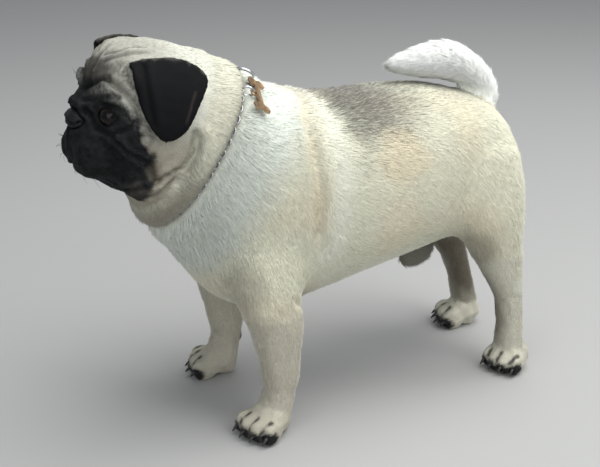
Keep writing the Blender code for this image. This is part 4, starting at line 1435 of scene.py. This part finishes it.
TAIL_GUIDES = [
    ((0.0, 0.199, 0.282), (0.0, -0.1, 1.0)), ((0.0, 0.192, 0.301), (0.0, -0.6, 0.8)),
    ((0.0, 0.170, 0.318), (0.0, -0.9, 0.4)), ((0.0, 0.130, 0.328), (0.0, -1.0, 0.0)),
    ((0.0, 0.090, 0.327), (0.0, -1.0, 0.0)),
]
EAR_WAY = np.array([0.10, -0.20, -1.00])
LIE_ROUNDS = 14


def guided(left, guides):
    """A mix of the directions of the guides, the nearest counting most."""
    total = np.zeros_like(left)
    for place, way in guides:
        apart = ((left - place) ** 2).sum(axis=1) + 0.004 ** 2
        total += unit(np.array(way)) / (apart ** 2)[:, None]
    return unit(total)


def lie_of_coat(places, normals, part):
    """The direction in which the hair lies at each point of the skin."""
    left = mirrored(places)
    on_tail = is_part(part, "tail")[:, None]
    way = np.where(on_tail, guided(left, TAIL_GUIDES), guided(left, BODY_GUIDES))
    way = np.where(is_part(part, "ear")[:, None], EAR_WAY, way)
    way = np.where(places[:, :1] < 0, way * RIGHT_SIDE, way)
    for _ in range(LIE_ROUNDS):
        way = unit(way - normals * (way * normals).sum(axis=1, keepdims=True))
        way = unit(way + near.mean(way))
    return unit(way - normals * (way * normals).sum(axis=1, keepdims=True))


lie = lie_of_coat(points, normals, part)
print("mean direction of the coat", lie.mean(axis=0).round(2))

# %% [markdown]
# ## The coat
# Particle hair is lost when a model is exported, so the coat is plain mesh: hundreds of
# thousands of tufts, each a thin closed sliver of four faces with a ridge along its back.
# Roots are spread over the triangles of the skin by area, closer where the hair is finer.
# The coat is parted into pieces along the body, and each takes the skin's triangles near it.

# %% Regions of the coat
REGIONS = {
    # name: (tufts, finish slot, test on the part and the place of a triangle)
    "coat_head": (49000, "dark_mask", lambda part, at: is_part(part, "head")),
    "coat_ears": (24000, "black_ear", lambda part, at: is_part(part, "ear")),
    "coat_neck": (46000, "cream_coat", lambda part, at: is_part(part, "neck") | (
        is_part(part, "trunk", "limb") & (at[:, 1] < -0.075))),
    "coat_shoulders": (49000, "fawn_coat", lambda part, at: (
        is_part(part, "trunk", "limb") & (at[:, 1] >= -0.075) & (at[:, 1] < -0.005))),
    "coat_flanks": (49000, "fawn_coat", lambda part, at: (
        is_part(part, "trunk", "limb") & (at[:, 1] >= -0.005) & (at[:, 1] < 0.105))),
    "coat_rump": (49000, "fawn_coat", lambda part, at: (
        is_part(part, "trunk", "limb") & (at[:, 1] >= 0.105))),
    "coat_fore_legs": (40000, "fawn_coat", lambda part, at: (
        is_part(part, "shin", "paw") & (at[:, 1] < 0.06))),
    "coat_hind_legs": (42000, "fawn_coat", lambda part, at: (
        (is_part(part, "shin", "paw") & (at[:, 1] >= 0.06)) | is_part(part, "sheath"))),
    "coat_tail": (22000, "cream_coat", lambda part, at: is_part(part, "tail")),
}
triangles = read(skin.data.polygons, "vertices", 3)
triangle_middles = points[triangles].mean(axis=1)
triangle_parts = np.sort(part[triangles], axis=1)[:, 1]


def region_faces(name):
    """The triangles of the skin that carry one piece of the coat."""
    return np.flatnonzero(REGIONS[name][2](triangle_parts, triangle_middles))


for name in REGIONS:
    print(name, "triangles", len(region_faces(name)), "tufts", REGIONS[name][0])

# %% [markdown]
# Each tuft gets a small patch in a UV map of its own. The map is an unwrap of the skin
# below, so neighbouring tufts are neighbours on the map too, and a colour baked
# there comes out in the right place. Blender unwraps that part of the skin as a mesh.

# %% Roots of the tufts
UNWRAP_ANGLE = 1.15
UNWRAP_MARGIN = 0.004
BARE_NOSE = 1.10
BARE_LIDS = 1.06
FINEST = 0.0026


def unwrapped(faces):
    """The corners of some of the skin's triangles on an unwrap of their own shape."""
    used, index = np.unique(triangles[faces], return_inverse=True)
    mesh = bpy.data.meshes.new("unwrap")
    mesh.from_pydata(points[used].tolist(), [], index.reshape(-1, 3).tolist())
    piece = add_object("unwrap", mesh)
    bpy.context.view_layer.objects.active = piece
    piece.select_set(True)
    mesh.uv_layers.new(name="flat")
    bpy.ops.object.mode_set(mode="EDIT")
    bpy.ops.mesh.select_all(action="SELECT")
    bpy.ops.uv.smart_project(
        angle_limit=UNWRAP_ANGLE, island_margin=UNWRAP_MARGIN, scale_to_bounds=True)
    bpy.ops.object.mode_set(mode="OBJECT")
    corners = read(mesh.uv_layers["flat"].uv, "vector", 2).reshape(-1, 3, 2)
    bpy.data.objects.remove(piece)
    return corners


def grows_hair(places, part):
    """True where hair grows: not on the nose, between the lids, or under the feet."""
    across, up, far = eye_angles(places)
    open_eye = (lid_opening(across, up) < BARE_LIDS) & (far < EYE_RADIUS + 0.005)
    return (nose_reach(places) > BARE_NOSE) & ~open_eye & (places[:, 2] > 0.0012)


def plant(faces, count, rng):
    """Roots spread over triangles: triangle, share of each corner, and place."""
    corners = points[triangles[faces]]
    first, second = corners[:, 1] - corners[:, 0], corners[:, 2] - corners[:, 0]
    area = np.linalg.norm(np.cross(first, second), axis=1)
    fine = length[triangles[faces]].mean(axis=1)
    total = np.cumsum(area / np.maximum(fine, FINEST) ** 0.9)
    spots = (np.arange(count) + rng.random(count)) / count * total[-1]
    chosen = faces[np.searchsorted(total, spots)]
    one, two = np.sqrt(rng.random(count)), rng.random(count)
    shares = np.stack([1.0 - one, one * (1.0 - two), one * two], axis=1)
    return chosen, shares


print("planting", sum(row[0] for row in REGIONS.values()), "tufts")

# %% [markdown]
# A tuft is widest at its root, rises a little, and bends back to the body at the tip. Neighbours
# share most of their direction, and drift by a few degrees from one clump to the next. Its
# shading normals are mostly those of the skin, so thousands of slivers catch the light as
# one coat and not as splinters.

# %% Tufts as a mesh
TUFT_FACES = np.array([(0, 2, 3), (1, 3, 2), (0, 3, 1), (0, 1, 2)])
PATCH = 0.0015
PATCH_CORNERS = np.array([(-PATCH, -PATCH), (PATCH, -PATCH), (PATCH, PATCH), (-PATCH, PATCH)])
ROOT_SINK = 0.0003
MID_SHARE = 0.45
DRIFT_DEGREES = (9.0, 7.0, 7.0)
LEAST_HEIGHT = 0.0005
TAG_MIDDLE = middle_of("collar_tag")


def lift_angle(places, part):
    """How steeply the hair rises from the skin, in radians."""
    behind = fold_plane_distance(places)
    degrees = LIFT_DEGREES + 4.0 * bell(behind - 0.020, 0.035)
    degrees = np.where(is_part(part, "head"), 12.0, degrees)
    degrees = np.where(is_part(part, "ear"), 8.0, degrees)
    degrees = np.where(is_part(part, "paw"), 11.0, degrees)
    pressed = fall(np.linalg.norm(places - TAG_MIDDLE, axis=1), 0.016, 0.025)
    return np.radians(degrees * (1.0 - 0.75 * pressed))


def tuft_width(part):
    """Width of a tuft at its root."""
    width = np.full(len(part), 0.00072)
    width[is_part(part, "head", "paw", "ear")] = 0.00040
    width[is_part(part, "shin", "sheath")] = 0.00060
    return width


def tuft_arrays(faces, count, seed):
    """Points, normals, colours and map places of the tufts on some triangles."""
    rng = np.random.default_rng(seed)
    chosen, shares = plant(faces, count, rng)
    flat = unwrapped(faces)[np.searchsorted(faces, chosen)]
    corners = triangles[chosen]
    spread = shares[:, :, None]
    root = (points[corners] * spread).sum(axis=1)
    kind = part[corners[np.arange(count), shares.argmax(axis=1)]]
    keep = grows_hair(root, kind)
    root, kind, corners, spread, flat, shares = (
        item[keep] for item in (root, kind, corners, spread, flat, shares))
    up = unit((normals[corners] * spread).sum(axis=1))
    way = (lie[corners] * spread).sum(axis=1)
    way = unit(way - up * (way * up).sum(axis=1, keepdims=True))
    amount = len(root)
    drift = (DRIFT_DEGREES[0] * noise(root, 0.007, 81) + DRIFT_DEGREES[1] * noise(root, 0.020, 82)
             + DRIFT_DEGREES[2] * rng.normal(size=amount))
    drift = np.radians(drift * np.where(is_part(kind, "head", "ear", "paw"), 0.6, 1.0))[:, None]
    way = unit(way * np.cos(drift) + np.cross(up, way) * np.sin(drift))
    clump = noise(root, 0.0042, 83)
    lift = lift_angle(root, kind) * (1.0 + 0.28 * clump + 0.18 * rng.normal(size=amount))
    lift = np.clip(lift, math.radians(3.0), math.radians(34.0))
    hair = (length[corners] * shares).sum(axis=1) * rng.uniform(0.72, 1.12, amount)
    side = np.cross(way, up)
    half = (tuft_width(kind) * rng.uniform(0.75, 1.25, amount) / 2)[:, None]
    base = root - up * ROOT_SINK
    steep, shallow = lift * 1.35, lift * 0.80
    rise = (way * np.cos(steep)[:, None] + up * np.sin(steep)[:, None])
    reach = (way * np.cos(shallow)[:, None] + up * np.sin(shallow)[:, None])
    middle = base + rise * (hair * MID_SHARE)[:, None]
    tip = middle + reach * (hair * (1.0 - MID_SHARE))[:, None]
    places = np.stack([base - side * half, base + side * half, middle, tip], axis=1)
    places[:, :, 2] = np.maximum(places[:, :, 2], LEAST_HEIGHT)
    shade = np.stack([up - side * 0.35, up + side * 0.35, up, up + way * 0.15], axis=1)
    colours = tuft_colours(root, kind, way, clump, rng)
    for corner in (0, 2, 3):
        light = fold_light(places[:, corner])[:, None]
        colours[:, corner] *= light
        if corner == 0:
            colours[:, 1] *= light
    patch = (flat * spread).sum(axis=1)[:, None, :] + PATCH_CORNERS
    return places, unit(shade), colours, patch


print("a tuft has", len(TUFT_FACES), "faces")

# %% [markdown]
# One hair is painted dark at the root, where neighbours shade it, and painted light at the tip. On the
# saddle up to six hairs in ten have black tips, which is what makes the grey, and in the
# mask one hair in seven is grey. Light and dark streaks run along the lie of the coat, so
# the noise for them is stretched that way; in the ruff the dark streaks are painted shade between
# locks.

# %% Colours along a tuft
ROOT_SHADE, MID_SHADE, TIP_SHADE = 0.84, 0.98, 1.06
STREAK_STRETCH = 0.80
BLACK_TIP = np.array([0.030, 0.028, 0.027])
BLACK_TIPS_SHARE = 0.62
GREY_SHARE, GREY_HAIR = 0.14, 2.4


def tuft_colours(root, kind, way, clump, rng):
    """Colours of the four corners of each tuft."""
    colour = coat_colours(root, kind)
    amount = len(root)
    along = (root * way).sum(axis=1, keepdims=True)
    streak = noise(root - way * along * STREAK_STRETCH, 0.0018, 91)
    broad_streak = noise(root - way * along * STREAK_STRETCH, 0.0050, 92)
    ruff = bell(fold_plane_distance(mirrored(root)) - 0.018, 0.034)
    ruff = ruff * is_part(kind, "neck", "trunk", "limb")
    tone = 1.0 + 0.07 * streak + 0.05 * broad_streak + 0.05 * clump + 0.07 * rng.normal(size=amount)
    # in the ruff, darker streaks are painted shade between the locks
    tone = tone - 0.22 * ruff * ramp(streak, 0.25, 0.85)
    dark = fall(colour.max(axis=1), 0.02, 0.06)
    tone = tone + dark * 0.35 * streak + dark * GREY_HAIR * (rng.random(amount) < GREY_SHARE)
    colour = colour * np.clip(tone, 0.45, 4.0)[:, None]
    shades = np.array([ROOT_SHADE, ROOT_SHADE, MID_SHADE, TIP_SHADE])
    corners = colour[:, None, :] * shades[None, :, None]
    saddle = saddle_share(root, mirrored(root)) * is_part(kind, "trunk")
    forehead = 0.22 * is_part(kind, "head") * ramp(root[:, 2], 0.33, 0.35)
    black = rng.random(amount) < BLACK_TIPS_SHARE * saddle + forehead
    corners[black, 3] = BLACK_TIP
    corners[black, 2] = (corners[black, 2] + BLACK_TIP) / 2
    return np.clip(corners, 0.003, 0.92)


def coat_piece(name, seed):
    """One piece of the coat as an object."""
    count, slot, _ = REGIONS[name]
    places, shade, colours, patch = tuft_arrays(region_faces(name), count, seed)
    amount = len(places)
    corners = (np.arange(amount)[:, None, None] * 4 + TUFT_FACES).reshape(-1)
    mesh = bpy.data.meshes.new(name)
    mesh.vertices.add(amount * 4)
    mesh.vertices.foreach_set("co", places.astype(np.float32).ravel())
    mesh.loops.add(len(corners))
    mesh.loops.foreach_set("vertex_index", corners.astype(np.int32))
    mesh.polygons.add(len(corners) // 3)
    mesh.polygons.foreach_set("loop_start", np.arange(0, len(corners), 3, dtype=np.int32))
    mesh.update(calc_edges=True)
    layer = mesh.uv_layers.new(name="OFBake")
    layer.uv.foreach_set("vector", patch.reshape(-1, 2)[corners].astype(np.float32).ravel())
    store_colours(mesh, colours.reshape(-1, 3))
    mesh.shade_smooth()
    mesh.normals_split_custom_set_from_vertices(shade.reshape(-1, 3).tolist())
    mesh.materials.append(velvet_finish if name in VELVET_PIECES else hair_finish)
    piece = add_object(name, mesh)
    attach(piece, "root")
    return amount


for seed, name in enumerate(REGIONS, start=101):
    print(name, coat_piece(name, seed))

# %% [markdown]
# ## Whiskers
# A pug has a few short, stiff, black whiskers on the muzzle, from dark moles, and two or
# three over each eye. Each is a fine tapering tube that bends back under its own weight.

# %% Whiskers
WHISKER_RADIUS = 0.00019
WHISKER_ROWS = [
    # place of the mole on the left side, direction, length
    ((0.0180, -0.2430, 0.2960), (0.75, -0.35, 0.05), 0.014),
    ((0.0230, -0.2405, 0.2930), (0.85, -0.20, 0.00), 0.017),
    ((0.0280, -0.2370, 0.2905), (0.90, -0.10, -0.05), 0.019),
    ((0.0180, -0.2440, 0.2880), (0.75, -0.35, -0.15), 0.014),
    ((0.0235, -0.2415, 0.2850), (0.85, -0.20, -0.15), 0.018),
    ((0.0290, -0.2375, 0.2820), (0.90, -0.05, -0.20), 0.019),
    ((0.0185, -0.2430, 0.2790), (0.70, -0.30, -0.40), 0.013),
    ((0.0245, -0.2395, 0.2760), (0.80, -0.15, -0.40), 0.016),
    ((0.0310, -0.2340, 0.2740), (0.85, 0.05, -0.40), 0.016),
    ((0.0300, -0.2215, 0.3450), (0.35, -0.60, 0.65), 0.010),
    ((0.0350, -0.2200, 0.3450), (0.50, -0.55, 0.60), 0.011),
    ((0.0560, -0.2110, 0.2980), (0.90, 0.00, -0.25), 0.013),
]
WHISKER_STEPS = 7


def whisker_parts(mirror, rng):
    """Points and faces of the whiskers of one side, as one mesh."""
    places, faces, base = [], [], 0
    for mole, way, reach in WHISKER_ROWS:
        start = nearest_of(left_points, np.array([mole]))[0]
        way = unit(np.array(way) + rng.normal(size=3) * 0.06)
        share = np.linspace(0.0, 1.0, WHISKER_STEPS)[:, None]
        path = start + way * reach * share + np.array([0.0, 0.30, -0.22]) * reach * share ** 2
        radii = WHISKER_RADIUS * (1.0 - 0.72 * share[:, 0])
        new_places, new_faces = tube(path * mirror, radii, 5, False)
        places.append(new_places)
        faces += [tuple(base + corner for corner in face) for face in new_faces]
        base += len(new_places)
    return np.concatenate(places), faces


bristle = grained("black bristle", (0.008, 0.007, 0.007), 0.65, 1500.0, 0.4, 0.12)
for seed, (side, mirror) in enumerate((("L", np.ones(3)), ("R", RIGHT_SIDE)), start=201):
    whiskers = add_object("whiskers_" + side, mesh_from(
        "whiskers", *whisker_parts(mirror, np.random.default_rng(seed))))
    whiskers.data.materials.append(bristle)
    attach(whiskers, "root")
print("whiskers", 2 * len(WHISKER_ROWS))

# %% [markdown]
# ## Collar chain
# The dog wears a slack steel chain, sunk in the hair of the neck fold. A chain is one link
# repeated along a path, each turned a quarter round against the last, which is a task for
# Geometry Nodes: the tree places a link at even steps and turns it along the path.

# %% Path of the chain
CHAIN_PATH_POINTS = 180
CHAIN_SINK = 0.0066
KERNEL = math.radians(9.0)


def chain_loop():
    """The middle line of the chain solid, smoothed and sunk into the coat."""
    corners, middle, axes = solid_axes("collar_chain")
    flat = corners @ axes.T
    angles = np.arctan2(flat[:, 1], flat[:, 0])
    turn = np.linspace(-math.pi, math.pi, CHAIN_PATH_POINTS, endpoint=False)
    apart = np.angle(np.exp(1j * (turn[:, None] - angles[None, :])))
    weight = bell(apart, KERNEL)
    loop = middle + weight @ corners / weight.sum(axis=1, keepdims=True)
    return loop - unit(loop - middle) * CHAIN_SINK, middle


chain_points, chain_middle = chain_loop()
chain_length = np.linalg.norm(chain_points - np.roll(chain_points, 1, axis=0), axis=1).sum()
print("chain length", round(chain_length, 3), "m round", chain_middle.round(3))

# %% [markdown]
# The tree has named inputs for its sizes. A mesh of edges becomes a curve, the curve is
# resampled to one point a link, and a bent wire is put on each point. The link's long axis
# follows the path, its face looks outwards, and every second one is rolled by 90 degrees.

# %% Chain links by Geometry Nodes
LINK_LENGTH = 0.0078
LINK_WIDTH = 0.0047
LINK_WIRE = 0.00062
LINK_STEP = 0.0056
LINK_BENDS = 14
WIRE_SIDES = 6


def chain_tree():
    """A node tree that lays links along a closed line of edges."""
    tree = bpy.data.node_groups.new("chain_links", "GeometryNodeTree")
    sockets = {}
    tree.interface.new_socket("Geometry", in_out="INPUT", socket_type="NodeSocketGeometry")
    for label, kind in (("Links", "NodeSocketInt"), ("Length", "NodeSocketFloat"),
                        ("Width", "NodeSocketFloat"), ("Wire", "NodeSocketFloat"),
                        ("Middle", "NodeSocketVector"), ("Steel", "NodeSocketMaterial")):
        socket = tree.interface.new_socket(label, in_out="INPUT", socket_type=kind)
        sockets[label] = socket.identifier
    tree.interface.new_socket("Geometry", in_out="OUTPUT", socket_type="NodeSocketGeometry")
    new, link = tree.nodes.new, tree.links.new
    entry, result = new("NodeGroupInput"), new("NodeGroupOutput")
    line = new("GeometryNodeMeshToCurve")
    link(entry.outputs["Geometry"], line.inputs["Mesh"])
    steps = new("GeometryNodeResampleCurve")
    link(line.outputs["Curve"], steps.inputs["Curve"])
    link(entry.outputs["Links"], steps.inputs["Count"])
    oval = new_node(tree, "GeometryNodeCurvePrimitiveCircle", {"Resolution": LINK_BENDS, "Radius": 0.5})
    size = new_node(tree, "ShaderNodeCombineXYZ", {"Z": 1.0})
    link(entry.outputs["Length"], size.inputs["X"])
    link(entry.outputs["Width"], size.inputs["Y"])
    stretch = new("GeometryNodeTransform")
    link(oval.outputs["Curve"], stretch.inputs["Geometry"])
    link(size.outputs["Vector"], stretch.inputs["Scale"])
    round_wire = new_node(tree, "GeometryNodeCurvePrimitiveCircle", {"Resolution": WIRE_SIDES})
    link(entry.outputs["Wire"], round_wire.inputs["Radius"])
    wire = new("GeometryNodeCurveToMesh")
    link(stretch.outputs["Geometry"], wire.inputs["Curve"])
    link(round_wire.outputs["Curve"], wire.inputs["Profile Curve"])
    tangent = new("GeometryNodeInputTangent")
    place = new("GeometryNodeInputPosition")
    number = new("GeometryNodeInputIndex")
    along = new_node(tree, "FunctionNodeAlignRotationToVector", axis="X")
    link(tangent.outputs["Tangent"], along.inputs["Vector"])
    outward = new_node(tree, "ShaderNodeVectorMath", operation="SUBTRACT")
    link(place.outputs["Position"], outward.inputs[0])
    link(entry.outputs["Middle"], outward.inputs[1])
    facing = new_node(tree, "FunctionNodeAlignRotationToVector", axis="Z", pivot_axis="X")
    link(along.outputs["Rotation"], facing.inputs["Rotation"])
    link(outward.outputs["Vector"], facing.inputs["Vector"])
    odd = new_node(tree, "ShaderNodeMath", operation="MODULO")
    odd.inputs[1].default_value = 2.0
    link(number.outputs["Index"], odd.inputs[0])
    roll = new_node(tree, "ShaderNodeMath", operation="MULTIPLY_ADD")
    roll.inputs[1].default_value = math.pi / 2
    roll.inputs[2].default_value = math.pi / 4
    link(odd.outputs["Value"], roll.inputs[0])
    angles = new("ShaderNodeCombineXYZ")
    link(roll.outputs["Value"], angles.inputs["X"])
    rolled = new("FunctionNodeEulerToRotation")
    link(angles.outputs["Vector"], rolled.inputs[0])
    turned = new_node(tree, "FunctionNodeRotateRotation", rotation_space="LOCAL")
    link(facing.outputs["Rotation"], turned.inputs["Rotation"])
    link(rolled.outputs["Rotation"], turned.inputs["Rotate By"])
    copies = new("GeometryNodeInstanceOnPoints")
    link(steps.outputs["Curve"], copies.inputs["Points"])
    link(wire.outputs["Mesh"], copies.inputs["Instance"])
    link(turned.outputs["Rotation"], copies.inputs["Rotation"])
    smooth = new("GeometryNodeSetShadeSmooth")
    link(copies.outputs["Instances"], smooth.inputs["Geometry"])
    real = new("GeometryNodeRealizeInstances")
    link(smooth.outputs["Geometry"], real.inputs["Geometry"])
    dressed = new("GeometryNodeSetMaterial")
    link(real.outputs["Geometry"], dressed.inputs["Geometry"])
    link(entry.outputs["Steel"], dressed.inputs["Material"])
    link(dressed.outputs["Geometry"], result.inputs["Geometry"])
    return tree, sockets


def metal(name, colour, roughness, scuff):
    """Metal with fine scuffs in its colour and gloss."""
    made = grained(name, colour, roughness, 420.0, scuff)
    tree = made.node_tree
    shader = tree.nodes["Principled BSDF"]
    shader.inputs["Metallic"].default_value = 1.0
    scuffs = next(node for node in tree.nodes if node.type == "GROUP")
    gloss = new_node(tree, "ShaderNodeMapRange", {
        "To Min": roughness * 0.6, "To Max": roughness * 1.5})
    tree.links.new(scuffs.outputs["Height"], gloss.inputs["Value"])
    tree.links.new(gloss.outputs["Result"], shader.inputs["Roughness"])
    return made


steel = metal("bright steel wire", (0.56, 0.57, 0.60), 0.26, 0.15)
line_mesh = bpy.data.meshes.new("chain_line")
line_mesh.from_pydata(
    chain_points.tolist(), [(i, (i + 1) % CHAIN_PATH_POINTS) for i in range(CHAIN_PATH_POINTS)], [])
chain = add_object("chain_links", line_mesh)
links = chain.modifiers.new("Links", "NODES")
links.node_group, chain_inputs = chain_tree()
link_count = 2 * round(chain_length / LINK_STEP / 2)
for label, value in (("Links", link_count), ("Length", LINK_LENGTH), ("Width", LINK_WIDTH),
                     ("Wire", LINK_WIRE), ("Steel", steel)):
    links[chain_inputs[label]] = value
links[chain_inputs["Middle"]] = tuple(chain_middle.tolist())
settle(chain)
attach(chain, "root")
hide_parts("collar_chain")
print("links", link_count, "faces", len(chain.data.polygons))

# %% [markdown]
# ## Rings and tag
# Two round rings join the chain, and one carries a flat bone-shaped tag with nothing written on
# it. The solids give each ring's middle, axis and radius. The tag's own outline is
# kept, and its two faces are pressed in a little inside a raised rim.

# %% Rings
RING_STEPS = 56
RINGS = {"tag_ring": 0.0011, "slip_ring": 0.0014}


def ring_path(node):
    """Points round the middle line of a ring solid."""
    corners, middle, (one, two, _) = solid_axes(node)
    radius = np.hypot(corners @ one, corners @ two).mean()
    turn = np.linspace(0.0, 2.0 * math.pi, RING_STEPS, endpoint=False)
    return middle + radius * (np.outer(np.cos(turn), one) + np.outer(np.sin(turn), two))


for node, wire in RINGS.items():
    ring = add_object("steel_" + node, mesh_from(node, *tube(ring_path(node), wire, 14, True)))
    ring.data.materials.append(steel)
    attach(ring, "root")
    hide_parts(node)
print("rings", len(RINGS))

# %% Bone-shaped tag
RIM_WIDTH = 0.0007
RIM_DEPTH = 0.00025
TAG_EDGE = 0.00022


def tag_mesh():
    """The tag solid with a rim round each face and softened edges."""
    _, _, axes = solid_axes("collar_tag")
    across = Vector(axes[2])
    bm = bmesh.new()
    bm.from_mesh(nodes["collar_tag"].data)
    bmesh.ops.remove_doubles(bm, verts=bm.verts, dist=0.00001)
    bm.normal_update()
    for sign in (1.0, -1.0):
        face_set = [face for face in bm.faces if face.normal.dot(across) * sign > 0.9]
        bmesh.ops.inset_region(bm, faces=face_set, thickness=RIM_WIDTH, depth=-RIM_DEPTH)
    mesh = bpy.data.meshes.new("tag")
    bm.to_mesh(mesh)
    bm.free()
    return mesh


tag = add_object("bone_tag", tag_mesh())
soften = tag.modifiers.new("Soften", "BEVEL")
soften.width = TAG_EDGE
soften.segments = 2
soften.limit_method = "ANGLE"
settle(tag)
tag.data.shade_smooth()
tag.data.set_sharp_from_angle(angle=math.radians(40.0))
tag.data.materials.clear()
tag.data.materials.append(metal("worn tan metal", (0.47, 0.31, 0.18), 0.36, 0.30))
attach(tag, "root")
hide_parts("collar_tag")
print("tag faces", len(tag.data.polygons))
